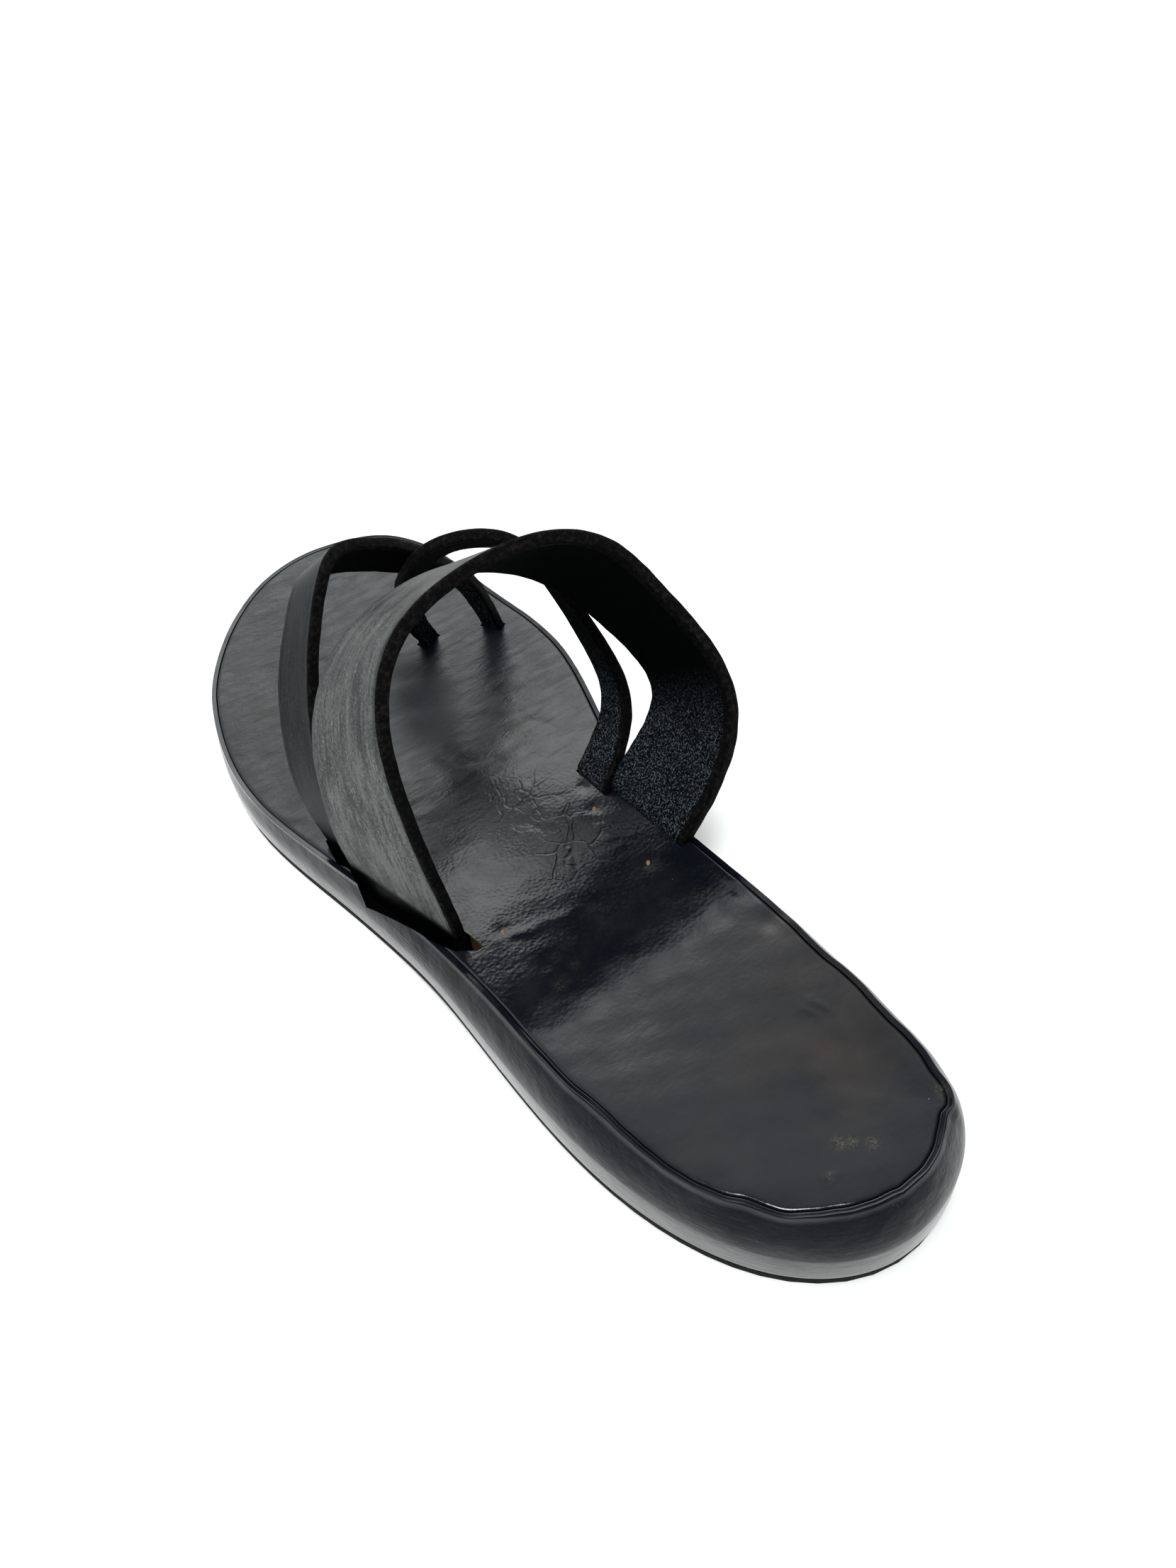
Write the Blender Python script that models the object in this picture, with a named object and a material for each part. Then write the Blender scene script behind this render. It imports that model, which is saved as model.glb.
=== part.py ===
# Left slide sandal: leather-wrapped sole, inlaid footbed and three crossing straps.
# Metres. +Y points at the toe, +X at the wearer's right (the big-toe side), +Z up.
# The origin lies on the floor, under the middle of the sole's outline.

import math

import bmesh
import bpy
import numpy as np

# Sole
SOLE_LENGTH = 0.285
BALL_WIDTH = 0.104
HEEL_HEIGHT = 0.0248
TOE_HEIGHT = 0.0158
TOE_SPRING = 0.0025
ARCH_LIFT = 0.0010
OUTSOLE_THICKNESS = 0.0020
OUTSOLE_SETBACK = 0.0004
EDGE_ROUND_WIDTH = 0.0060
EDGE_ROUND_DROP = 0.0125
BOTTOM_ROUND = 0.0016
CREST_WIDTH = 0.0010
BED_DISH = 0.0014

# Footbed panel
FOOTBED_THICKNESS = 0.0014

# Straps
LEATHER = 0.0030
STRAP_BEVEL = 0.0005
INSTEP_STRAP_WIDTH = 0.0340
LATERAL_STRAP_WIDTH = 0.0134
MEDIAL_STRAP_WIDTH = 0.0112
STRAP_RISE = 0.0700
SEAT_DEPTH = 0.0085
LATERAL_SLOT_SPARE = 0.0034
MEDIAL_SLOT_SPARE = 0.0016
LATERAL_SLOT_RUN_ON = 0.0050
ROOT_LAP = 0.0025
JOIN = 0.0003

# Clearance between touching pieces
GAP = 0.0003

# How finely the curves are cut
OUTLINE_POINTS = 112
ROUND_STEPS = 6
STRAP_STATIONS = 38

# Sole outline, heel to toe: share of the length, then the reach to the little-toe side
# and to the big-toe side as shares of half the ball width
OUTLINE_ROWS = [
    # along, lateral, medial
    (0.040, 0.41, 0.54),
    (0.120, 0.67, 0.64),
    (0.250, 0.80, 0.63),
    (0.400, 0.83, 0.57),
    (0.550, 0.96, 0.75),
    (0.680, 1.07, 0.94),
    (0.800, 0.97, 0.91),
    (0.900, 0.72, 0.86),
    (0.965, 0.39, 0.68),
]
TOE_TIP_ACROSS = 0.06

# Rolled edge: share of the length, width on the little-toe side and on the big-toe side
# as shares of EDGE_ROUND_WIDTH
EDGE_ROWS = [
    # along, lateral, medial
    (0.00, 1.03, 1.03),
    (0.06, 0.85, 1.00),
    (0.15, 0.90, 1.10),
    (0.30, 0.90, 0.85),
    (0.40, 0.70, 0.55),
    (0.56, 0.40, 0.42),
    (0.80, 0.42, 0.78),
    (0.93, 0.78, 0.84),
    (1.00, 0.88, 0.88),
]

# Top of the footbed, heel to toe: share of the length, share of the fall from heel to toe
BED_ROWS = [
    # along, fallen
    (0.00, 0.00),
    (0.12, 0.00),
    (0.25, 0.10),
    (0.36, 0.38),
    (0.53, 0.69),
    (0.70, 0.98),
    (0.85, 1.00),
    (1.00, 1.00),
]

# Straps, from the little-toe side to the big-toe side. Each row places the middle of the
# strap: across (share of half the ball width), along (share of the sole's length), rise
# (share of STRAP_RISE above the footbed), heading of its width from +Y towards +X and the
# drop of its front edge (degrees), and its width (share of the strap's own width).
# The first and last rows of each table lie at the mouths of its slots.
INSTEP_STRAP_ROWS = [
    # across, along, rise, heading, drop, width
    (-0.74, 0.457, 0.00, -14.0, 0.0, 1.15),
    (-0.79, 0.453, 0.41, -13.0, 19.0, 1.10),
    (-0.74, 0.476, 0.73, -11.0, 30.0, 1.04),
    (-0.53, 0.504, 0.94, -10.0, 35.0, 0.99),
    (-0.17, 0.522, 1.01, -11.0, 35.0, 0.98),
    (0.22, 0.525, 0.99, -12.0, 37.0, 0.99),
    (0.53, 0.510, 0.88, -10.5, 41.0, 0.98),
    (0.71, 0.478, 0.70, -7.0, 43.0, 0.92),
    (0.82, 0.439, 0.50, -6.5, 36.0, 0.91),
    (0.775, 0.411, 0.28, -4.0, 19.0, 0.92),
    (0.47, 0.405, 0.00, -2.0, 0.0, 0.88),
]
LATERAL_STRAP_ROWS = [
    # across, along, rise, heading, drop, width
    (-0.80, 0.541, 0.00, -14.0, 0.0, 1.12),
    (-0.835, 0.562, 0.31, -19.0, 14.0, 1.02),
    (-0.73, 0.596, 0.58, -22.0, 22.5, 1.00),
    (-0.54, 0.634, 0.76, -30.0, 34.0, 1.00),
    (-0.35, 0.670, 0.83, -43.0, 40.0, 1.00),
    (-0.14, 0.692, 0.77, -50.0, 41.0, 0.98),
    (0.11, 0.703, 0.645, -48.0, 38.5, 0.88),
    (0.35, 0.714, 0.485, -40.0, 27.5, 0.68),
    (0.56, 0.727, 0.28, -34.0, 9.5, 0.56),
    (0.69, 0.734, 0.00, -27.0, 0.0, 0.50),
]
MEDIAL_STRAP_ROWS = [
    # across, along, rise, heading, drop, width
    (0.33, 0.761, 0.00, 72.0, 0.0, 0.58),
    (0.20, 0.737, 0.29, 85.0, -3.0, 0.64),
    (0.20, 0.704, 0.55, 88.0, 8.0, 0.70),
    (0.28, 0.668, 0.71, 80.0, 30.0, 0.76),
    (0.41, 0.633, 0.77, 57.0, 47.0, 0.88),
    (0.54, 0.601, 0.75, 31.0, 48.0, 0.95),
    (0.61, 0.564, 0.62, 18.0, 42.0, 0.98),
    (0.66, 0.525, 0.43, 6.0, 34.0, 1.00),
    (0.65, 0.493, 0.21, -2.0, 22.0, 1.00),
    (0.43, 0.475, 0.00, -2.0, 0.0, 1.10),
]

# Slots: strap, which of its ends, whether it lies beside the rim, the spare width on its
# outer side, and how far it runs on towards the heel
SLOT_ROWS = [
    # strap, end, beside_rim, spare, run_on
    ("instep", "first", True, LATERAL_SLOT_SPARE, LATERAL_SLOT_RUN_ON),
    ("lateral", "first", True, LATERAL_SLOT_SPARE, 0.0),
    ("lateral", "last", False, 0.0, 0.0),
    ("medial", "first", False, 0.0, 0.0),
    ("medial", "last", True, MEDIAL_SLOT_SPARE, 0.0),
    ("instep", "last", True, MEDIAL_SLOT_SPARE, 0.0),
]


def clear_scene():
    for obj in list(bpy.data.objects):
        bpy.data.objects.remove(obj, do_unlink=True)


# Curves through table rows

def closed_spline(points, counts):
    """Smooth closed curve through points; counts gives the samples on each span."""
    points = np.asarray(points, float)
    spans = np.linalg.norm(np.roll(points, -1, axis=0) - points, axis=1)
    size = len(points)
    matrix = np.zeros((size, size))
    slopes = np.zeros_like(points)
    for i in range(size):
        before, after = spans[i - 1], spans[i]
        matrix[i, i - 1] = before
        matrix[i, i] = 2 * (before + after)
        matrix[i, (i + 1) % size] = after
        rise_after = (points[(i + 1) % size] - points[i]) / after
        rise_before = (points[i] - points[i - 1]) / before
        slopes[i] = 6 * (rise_after - rise_before)
    bend = np.linalg.solve(matrix, slopes)
    samples = []
    for i, count in enumerate(counts):
        j = (i + 1) % size
        for share in np.arange(count) / count:
            a, b = 1 - share, share
            curl = (a**3 - a) * bend[i] + (b**3 - b) * bend[j]
            samples.append(a * points[i] + b * points[j] + curl * spans[i]**2 / 6)
    return np.array(samples)


def open_spline(rows, count):
    """Natural cubic curve through rows, sampled evenly from the first row to the last."""
    rows = np.asarray(rows, float)
    size = len(rows)
    matrix = np.eye(size)
    right = np.zeros_like(rows)
    for i in range(1, size - 1):
        matrix[i, i - 1:i + 2] = (1, 4, 1)
        right[i] = 6 * (rows[i + 1] - 2 * rows[i] + rows[i - 1])
    bend = np.linalg.solve(matrix, right)
    samples = []
    for place in np.linspace(0, size - 1, count):
        i = min(int(place), size - 2)
        a, b = i + 1 - place, place - i
        curl = (a**3 - a) * bend[i] + (b**3 - b) * bend[i + 1]
        samples.append(a * rows[i] + b * rows[i + 1] + curl / 6)
    return np.array(samples)


def steady(x, rows):
    """Value at x of a table (place, value), eased between its rows without overshoot."""
    places = [row[0] for row in rows]
    values = [row[1] for row in rows]
    steps = np.diff(values) / np.diff(places)
    slopes = [0.0]
    for before, after in zip(steps[:-1], steps[1:]):
        slopes.append(0.0 if before * after <= 0 else 2 * before * after / (before + after))
    slopes.append(0.0)
    x = min(max(x, places[0]), places[-1])
    i = min(int(np.searchsorted(places, x, side="right")) - 1, len(rows) - 2)
    width = places[i + 1] - places[i]
    t = (x - places[i]) / width
    start = (2 * t**3 - 3 * t**2 + 1) * values[i] + (t**3 - 2 * t**2 + t) * width * slopes[i]
    end = (3 * t**2 - 2 * t**3) * values[i + 1] + (t**3 - t**2) * width * slopes[i + 1]
    return start + end


# Sole surfaces, in last coordinates: x from the heel's centre line, y from the heel's back

def sole_outline():
    half = BALL_WIDTH / 2
    points = [(0.0, 0.0)]
    points += [(-row[1] * half, row[0] * SOLE_LENGTH) for row in OUTLINE_ROWS]
    points.append((TOE_TIP_ACROSS * half, SOLE_LENGTH))
    points += [(row[2] * half, row[0] * SOLE_LENGTH) for row in reversed(OUTLINE_ROWS)]
    spans = len(OUTLINE_ROWS) + 1
    dense = closed_spline(points, [24] * (2 * spans))
    turn = 24 * spans
    sides = []
    for side in (dense[:turn + 1], np.vstack([dense[turn:], dense[:1]])):
        steps = np.linalg.norm(np.diff(side, axis=0), axis=1)
        reach = np.concatenate([[0], np.cumsum(steps)])
        wanted = np.linspace(0, reach[-1], OUTLINE_POINTS // 2 + 1)[:-1]
        sides.append(np.column_stack([np.interp(wanted, reach, side[:, k]) for k in (0, 1)]))
    return np.vstack(sides)


def bed_height(y):
    fallen = steady(y / SOLE_LENGTH, BED_ROWS)
    return HEEL_HEIGHT + (TOE_HEIGHT - HEEL_HEIGHT) * fallen


def floor_lift(y):
    """How far the tread rises off the floor: a low arch at the waist, a spring at the toe."""
    share = y / SOLE_LENGTH
    arch = math.sin(math.pi * min(max((share - 0.30) / 0.20, 0), 1))**2
    spring = max((share - 0.82) / 0.18, 0)**2
    return ARCH_LIFT * arch + TOE_SPRING * min(spring, 1)


def midsole_floor(y):
    return floor_lift(y) + OUTSOLE_THICKNESS + GAP


def inset(outline, distance):
    """The closed outline moved inwards by distance, one number or one for each point."""
    along = np.roll(outline, -1, axis=0) - np.roll(outline, 1, axis=0)
    along /= np.linalg.norm(along, axis=1)[:, None]
    inward = np.column_stack([along[:, 1], -along[:, 0]])
    return outline + inward * np.reshape(distance, (-1, 1))


def edge_widths():
    """Width of the rolled edge at every outline point."""
    widths = []
    for number, (x, y) in enumerate(OUTLINE):
        column = 1 if number < len(OUTLINE) // 2 else 2
        share = steady(y / SOLE_LENGTH, [(row[0], row[column]) for row in EDGE_ROWS])
        widths.append(share * EDGE_ROUND_WIDTH)
    return np.array(widths)


def roll_drop(y):
    """Height of the rolled edge, at most a little over half of the side wall."""
    return min(EDGE_ROUND_DROP, 0.6 * (bed_height(y) - midsole_floor(y)))


def shrink(outline, share):
    """The outline drawn towards the middle line of the sole."""
    middle = np.clip(outline[:, 1], 0.14 * SOLE_LENGTH, 0.84 * SOLE_LENGTH)
    spine = np.column_stack([np.full(len(outline), -0.04 * BALL_WIDTH / 2), middle])
    return spine + (outline - spine) * share


DISH_SHARES = (0.86, 0.62, 0.30)


def dish(share):
    return BED_DISH * (1 - share**2)


def ring(flat, height):
    """Raises a flat outline; height is a number's function of y."""
    return [(x, y, height(y)) for x, y in flat]


# Meshes

def mesh_object(name, verts, faces, material):
    mesh = bpy.data.meshes.new(name)
    mesh.from_pydata([tuple(v) for v in verts], [], faces)
    bm = bmesh.new()
    bm.from_mesh(mesh)
    bmesh.ops.recalc_face_normals(bm, faces=bm.faces)
    bm.to_mesh(mesh)
    bm.free()
    obj = bpy.data.objects.new(name, mesh)
    bpy.context.scene.collection.objects.link(obj)
    if material:
        mesh.materials.append(material)
        mesh.shade_smooth()
        mesh.set_sharp_from_angle(angle=math.radians(40))
    return obj


def stacked_rings(name, rings, material):
    """Closed solid from rings of equal count, bottom first; both ends close as a ladder."""
    count = len(rings[0])
    verts = [(x - FRAME_X, y - FRAME_Y, z) for one in rings for x, y, z in one]
    faces = []
    for level in range(len(rings) - 1):
        low, high = level * count, (level + 1) * count
        for i in range(count):
            j = (i + 1) % count
            faces.append((low + i, low + j, high + j, high + i))
    for start in (0, (len(rings) - 1) * count):
        for i in range(count // 2):
            j, left, right = i + 1, count - i - 1, (count - i) % count
            corners = [start + k for k in (i, j, left, right)]
            faces.append(tuple(dict.fromkeys(corners)))
    return mesh_object(name, verts, faces, material)


def leather(name, colour, roughness):
    material = bpy.data.materials.new(name)
    material.use_nodes = True
    shader = material.node_tree.nodes["Principled BSDF"]
    shader.inputs["Base Color"].default_value = (*colour, 1)
    shader.inputs["Roughness"].default_value = roughness
    shader.inputs["Metallic"].default_value = 0.0
    material.diffuse_color = (*colour, 1)
    return material


def boolean(obj, tool, operation):
    cut = obj.modifiers.new(operation.lower() + " " + tool.name, "BOOLEAN")
    cut.operation = operation
    cut.object = tool
    cut.solver = "EXACT"
    tool.hide_render = True
    tool.display_type = "WIRE"


# Straps

def placed_rows(rows, width):
    """A strap's table in metres and radians: middle, heading, drop and width."""
    half = BALL_WIDTH / 2
    table = []
    for across, along, rise, heading, drop, share in rows:
        y = along * SOLE_LENGTH
        table.append([across * half, y, bed_height(y) + rise * STRAP_RISE,
                      math.radians(heading), math.radians(drop), share * width])
    return table


def strap_stations(table):
    """Places along a strap. It runs straight down into its slots by SEAT_DEPTH."""
    samples = open_spline(table, STRAP_STATIONS)
    ends = []
    for end in (samples[0], samples[-1]):
        seat = end.copy()
        seat[2] -= SEAT_DEPTH
        ends.append(seat)
    return np.vstack([ends[0], samples, ends[1]])


def lap_root(table, neighbour, end):
    """Seats one end row of a strap against the inner face of the neighbour's root, past its
    front edge but for ROOT_LAP, so that the two are one piece in the slot."""
    root = neighbour[end]
    heading = root[3]
    ahead = (root[5] + table[end][5]) / 2 - ROOT_LAP
    inward = math.copysign(LEATHER - JOIN, -root[0])
    x = root[0] + math.sin(heading) * ahead + math.cos(heading) * inward
    y = root[1] + math.cos(heading) * ahead - math.sin(heading) * inward
    table[end][:4] = [x, y, bed_height(y), heading]


def draw_under(lower, upper):
    """Draws the stations of one strap smoothly against the inner face of the other where
    they cross, so that the two are joined there."""
    distance = np.linalg.norm(lower[:, None, :3] - upper[None, :, :3], axis=2)
    low, high = np.unravel_index(distance.argmin(), distance.shape)
    normal = strap_frames(upper)[2][high]
    apart = np.dot(upper[high, :3] - lower[low, :3], normal)
    pull = (apart - (LEATHER - JOIN)) * normal
    for i in range(len(lower)):
        nearness = max(1 - abs(i - low) / (0.24 * STRAP_STATIONS), 0)
        lower[i, :3] += pull * (3 * nearness**2 - 2 * nearness**3)


def strap_frames(stations):
    """For each station: middle, unit width direction and unit outward normal."""
    middles = stations[:, :3]
    heading, drop = stations[:, 3], stations[:, 4]
    widths = np.column_stack([np.sin(heading) * np.cos(drop), np.cos(heading) * np.cos(drop), -np.sin(drop)])
    along = np.gradient(middles, axis=0)
    along[0] = middles[1] - middles[0]
    along[-1] = middles[-1] - middles[-2]
    normals = np.cross(along, widths)
    normals /= np.linalg.norm(normals, axis=1)[:, None]
    crest = len(stations) // 2
    if normals[crest, 2] < 0:
        normals = -normals
    return middles, widths, normals


def strap_solid(name, stations, material):
    """Lofts the bevelled section of a strap through its stations."""
    middles, widths, normals = strap_frames(stations)
    bevel = STRAP_BEVEL
    verts, faces = [], []
    for middle, across, up, width in zip(middles, widths, normals, stations[:, 5]):
        a, b = width / 2, LEATHER / 2
        section = [(a, b - bevel), (a - bevel, b), (bevel - a, b), (-a, b - bevel),
                   (-a, bevel - b), (bevel - a, -b), (a - bevel, -b), (a, bevel - b)]
        for s, t in section:
            x, y, z = middle + across * s + up * t
            verts.append((x - FRAME_X, y - FRAME_Y, z))
    for i in range(len(middles) - 1):
        for k in range(8):
            j = (k + 1) % 8
            faces.append((8 * i + k, 8 * i + j, 8 * i + 8 + j, 8 * i + 8 + k))
    last = 8 * (len(middles) - 1)
    faces += [tuple(range(8)), tuple(range(last, last + 8))]
    return mesh_object(name, verts, faces, material)


def slot_tool(name, end, spare, run_on):
    """Cutter for one end of a strap: the strap's own buried stretch with a clearance all
    round, carried straight up past the footbed."""
    deep = end.copy()
    deep[2] -= SEAT_DEPTH + GAP
    top = end.copy()
    top[2] += 4 * SEAT_DEPTH
    heading = end[3]
    across = np.array([math.sin(heading), math.cos(heading), 0.0])
    outward = np.array([math.cos(heading), -math.sin(heading), 0.0])
    if outward[0] * end[0] < 0:
        outward = -outward
    half_width = end[5] / 2 + GAP
    half_wall = LEATHER / 2 + GAP
    verts = []
    for level in (deep, top):
        for s, t in ((-half_width - run_on, -half_wall), (half_width, -half_wall),
                     (half_width, half_wall + spare), (-half_width - run_on, half_wall + spare)):
            x, y, z = level[:3] + across * s + outward * t
            verts.append((x - FRAME_X, y - FRAME_Y, z))
    faces = [(0, 1, 2, 3), (4, 5, 6, 7), (0, 1, 5, 4), (1, 2, 6, 5), (2, 3, 7, 6), (3, 0, 4, 7)]
    return mesh_object(name, verts, faces, None)


clear_scene()
OUTLINE = sole_outline()
FRAME_X, FRAME_Y = (OUTLINE.max(axis=0) + OUTLINE.min(axis=0)) / 2
UNDER_FOOTBED = FOOTBED_THICKNESS + GAP
EDGE_WIDTHS = edge_widths()


def make_outsole(material):
    outer = inset(OUTLINE, OUTSOLE_SETBACK)
    shares = DISH_SHARES[::-1]
    rings = [ring(shrink(outer, share), floor_lift) for share in shares]
    rings.append(ring(outer, floor_lift))
    top = lambda y: floor_lift(y) + OUTSOLE_THICKNESS
    rings.append(ring(outer, top))
    rings += [ring(shrink(outer, share), top) for share in DISH_SHARES]
    return stacked_rings("outsole", rings, material)


def make_midsole(material):
    low = inset(OUTLINE, BOTTOM_ROUND)
    rings = [ring(shrink(low, share), midsole_floor) for share in DISH_SHARES[::-1]]
    rings.append(ring(low, midsole_floor))
    rings.append(ring(OUTLINE, lambda y: midsole_floor(y) + BOTTOM_ROUND))
    for step in range(ROUND_STEPS + 1):
        turn = math.pi / 2 * step / ROUND_STEPS
        fall = 1 - math.sin(turn)
        flat = inset(OUTLINE, (EDGE_WIDTHS - CREST_WIDTH) * (1 - math.cos(turn)))
        rings.append(ring(flat, lambda y: bed_height(y) - roll_drop(y) * fall))
    inner = inset(OUTLINE, EDGE_WIDTHS)
    rings.append(ring(inner, lambda y: bed_height(y) - UNDER_FOOTBED))
    for share in DISH_SHARES:
        level = UNDER_FOOTBED + dish(share)
        rings.append(ring(shrink(inner, share), lambda y: bed_height(y) - level))
    return stacked_rings("midsole", rings, material)


def make_footbed(material):
    edge = inset(OUTLINE, EDGE_WIDTHS + GAP)
    soft = FOOTBED_THICKNESS / 3
    rings = []
    for share in DISH_SHARES[::-1]:
        level = FOOTBED_THICKNESS + dish(share)
        rings.append(ring(shrink(edge, share), lambda y: bed_height(y) - level))
    rings.append(ring(edge, lambda y: bed_height(y) - FOOTBED_THICKNESS))
    rings.append(ring(edge, lambda y: bed_height(y) - soft))
    rings.append(ring(inset(edge, soft), bed_height))
    for share in DISH_SHARES:
        level = dish(share)
        rings.append(ring(shrink(inset(edge, soft), share), lambda y: bed_height(y) - level))
    return stacked_rings("footbed", rings, material)


def make_upper(material, straps):
    upper = strap_solid("upper", straps["instep"], material)
    for name in ("lateral", "medial"):
        boolean(upper, strap_solid(name + " strap", straps[name], None), "UNION")
    return upper


def cut_slots(midsole, footbed, straps):
    """Cuts a seat for both ends of each strap. Beside the rim the footbed is notched out to
    its edge, and the slot on the little-toe side is open wider than its straps."""
    for name, end, beside_rim, spare, run_on in SLOT_ROWS:
        mouth = straps[name][1 if end == "first" else -2]
        boolean(midsole, slot_tool(name + " slot", mouth, spare, run_on), "DIFFERENCE")
        reach = 2 * EDGE_ROUND_WIDTH if beside_rim else 0.0
        boolean(footbed, slot_tool(name + " notch", mouth, reach, run_on), "DIFFERENCE")


def make_straps():
    instep = placed_rows(INSTEP_STRAP_ROWS, INSTEP_STRAP_WIDTH)
    lateral = placed_rows(LATERAL_STRAP_ROWS, LATERAL_STRAP_WIDTH)
    medial = placed_rows(MEDIAL_STRAP_ROWS, MEDIAL_STRAP_WIDTH)
    lap_root(lateral, instep, 0)
    lap_root(medial, instep, -1)
    straps = {"instep": instep, "lateral": lateral, "medial": medial}
    straps = {name: strap_stations(table) for name, table in straps.items()}
    draw_under(straps["medial"], straps["lateral"])
    return straps


STRAPS = make_straps()
make_outsole(leather("Outsole leather", (0.012, 0.012, 0.013), 0.45))
MIDSOLE = make_midsole(leather("Sole wrap leather", (0.012, 0.012, 0.014), 0.30))
FOOTBED = make_footbed(leather("Footbed leather", (0.020, 0.018, 0.018), 0.36))
cut_slots(MIDSOLE, FOOTBED, STRAPS)
make_upper(leather("Strap leather", (0.016, 0.017, 0.018), 0.55), STRAPS)
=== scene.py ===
# Looks of the left slide sandal: waxed wrap, polished footbed, bloomed and suede straps.
# Metres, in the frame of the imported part: +Y to the toe, +X to the big-toe side, +Z up.

import math

import bmesh
import bpy
import numpy as np
from mathutils import Matrix, Vector


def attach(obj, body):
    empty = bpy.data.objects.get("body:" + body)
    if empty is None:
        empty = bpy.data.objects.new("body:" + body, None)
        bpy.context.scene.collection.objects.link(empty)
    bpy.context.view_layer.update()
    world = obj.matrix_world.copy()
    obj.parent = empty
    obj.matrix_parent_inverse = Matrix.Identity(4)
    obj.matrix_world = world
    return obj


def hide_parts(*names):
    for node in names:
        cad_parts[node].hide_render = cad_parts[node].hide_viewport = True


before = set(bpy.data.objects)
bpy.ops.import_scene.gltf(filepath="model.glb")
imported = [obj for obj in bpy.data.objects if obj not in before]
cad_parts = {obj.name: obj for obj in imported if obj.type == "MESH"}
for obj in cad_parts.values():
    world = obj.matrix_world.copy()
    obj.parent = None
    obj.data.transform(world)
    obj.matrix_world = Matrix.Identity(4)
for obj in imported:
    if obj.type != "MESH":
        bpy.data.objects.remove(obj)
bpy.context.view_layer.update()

MM = 0.001

# Sizes of the sole
SOLE_LENGTH = 0.285
BALL_WIDTH = 0.104
HEEL_HEIGHT = 0.0248
TOE_HEIGHT = 0.0158
TOE_SPRING = 0.0025
ARCH_LIFT = 0.0010
OUTSOLE_THICKNESS = 0.0020
EDGE_ROUND_DROP = 0.0125
BOTTOM_ROUND = 0.0016
SHOULDER_SLOPE = 1.6
CREST_WIDTH = 1.3 * MM
BED_DISH = 0.0014
FOOTBED_THICKNESS = 0.0014
PANEL_ROUND = 0.8 * MM
GAP = 0.0003

# Where the arch and the toe spring start and end, as shares of the sole's length
ARCH_FROM, ARCH_TO = 0.30, 0.50
SPRING_FROM, SPRING_TO = 0.82, 1.00

# Middle line of the sole: its ends and their easing as shares of the length, and its place
# across as a share of half the ball width
SPINE_FROM, SPINE_TO, SPINE_EASE = 0.14, 0.84, 0.025
SPINE_ACROSS = -0.04

# Sizes of the straps
LEATHER = 0.0030
EDGE_SOFTNESS = 0.0007
LIP_HEIGHT = 0.25 * MM
LIP_REACH = 1.6 * MM
INSTEP_STRAP_WIDTH = 0.0340
LATERAL_STRAP_WIDTH = 0.0134
MEDIAL_STRAP_WIDTH = 0.0112
STRAP_RISE = 0.0700
SEAT_DEPTH = 0.0085
LATERAL_SLOT_SPARE = 0.0034
MEDIAL_SLOT_SPARE = 0.0016
LATERAL_SLOT_RUN_ON = 0.0050
ROOT_LAP = 0.0025
JOIN = 0.0003
PULL_SHARE = 0.24
TACK_RADIUS = 0.75 * MM

# How finely the pieces are cut
SPLINE_SAMPLES = 60
OUTLINE_POINTS = 560
STRAP_STATIONS = 260
SEAT_STEPS = 10
UNDER_RINGS = 12
BOTTOM_STEPS = 4
WALL_STEPS = 13
ROLL_STEPS = 20
CREST_STEPS = 8
BED_RINGS = 72
INNER_SHARE = 0.3

# Sole outline: share of the length, and reach to each side as a share of half the ball width
OUTLINE_ROWS = [
    # along, lateral, medial
    (0.040, 0.41, 0.54),
    (0.120, 0.67, 0.64),
    (0.250, 0.80, 0.63),
    (0.400, 0.83, 0.57),
    (0.550, 0.96, 0.75),
    (0.680, 1.07, 0.94),
    (0.800, 0.97, 0.91),
    (0.900, 0.72, 0.86),
    (0.965, 0.39, 0.68),
]
TOE_TIP_ACROSS = 0.06

# Top of the footbed: share of the length, and of the fall from heel to toe
BED_ROWS = [
    # along, fallen
    (0.00, 0.00),
    (0.12, 0.00),
    (0.25, 0.10),
    (0.36, 0.38),
    (0.53, 0.69),
    (0.70, 0.98),
    (0.85, 1.00),
    (1.00, 1.00),
]

# Straps, as in the part: shares of half the ball width, length, rise and width, and degrees
INSTEP_STRAP_ROWS = [
    # across, along, rise, heading, drop, width
    (-0.74, 0.457, 0.00, -14.0, 0.0, 1.15),
    (-0.79, 0.453, 0.41, -13.0, 19.0, 1.10),
    (-0.74, 0.476, 0.73, -11.0, 30.0, 1.04),
    (-0.53, 0.504, 0.94, -10.0, 35.0, 0.99),
    (-0.17, 0.522, 1.01, -11.0, 35.0, 0.98),
    (0.22, 0.525, 0.99, -12.0, 37.0, 0.99),
    (0.53, 0.510, 0.88, -10.5, 41.0, 0.98),
    (0.71, 0.478, 0.70, -7.0, 43.0, 0.92),
    (0.82, 0.439, 0.50, -6.5, 36.0, 0.91),
    (0.775, 0.411, 0.28, -4.0, 19.0, 0.92),
    (0.47, 0.405, 0.00, -2.0, 0.0, 0.88),
]
LATERAL_STRAP_ROWS = [
    (-0.80, 0.541, 0.00, -14.0, 0.0, 1.12),
    (-0.835, 0.562, 0.31, -19.0, 14.0, 1.02),
    (-0.73, 0.596, 0.58, -22.0, 22.5, 1.00),
    (-0.54, 0.634, 0.76, -30.0, 34.0, 1.00),
    (-0.35, 0.670, 0.83, -43.0, 40.0, 1.00),
    (-0.14, 0.692, 0.77, -50.0, 41.0, 0.98),
    (0.11, 0.703, 0.645, -48.0, 38.5, 0.88),
    (0.35, 0.714, 0.485, -40.0, 27.5, 0.68),
    (0.56, 0.727, 0.28, -34.0, 9.5, 0.56),
    (0.69, 0.734, 0.00, -27.0, 0.0, 0.50),
]
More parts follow.
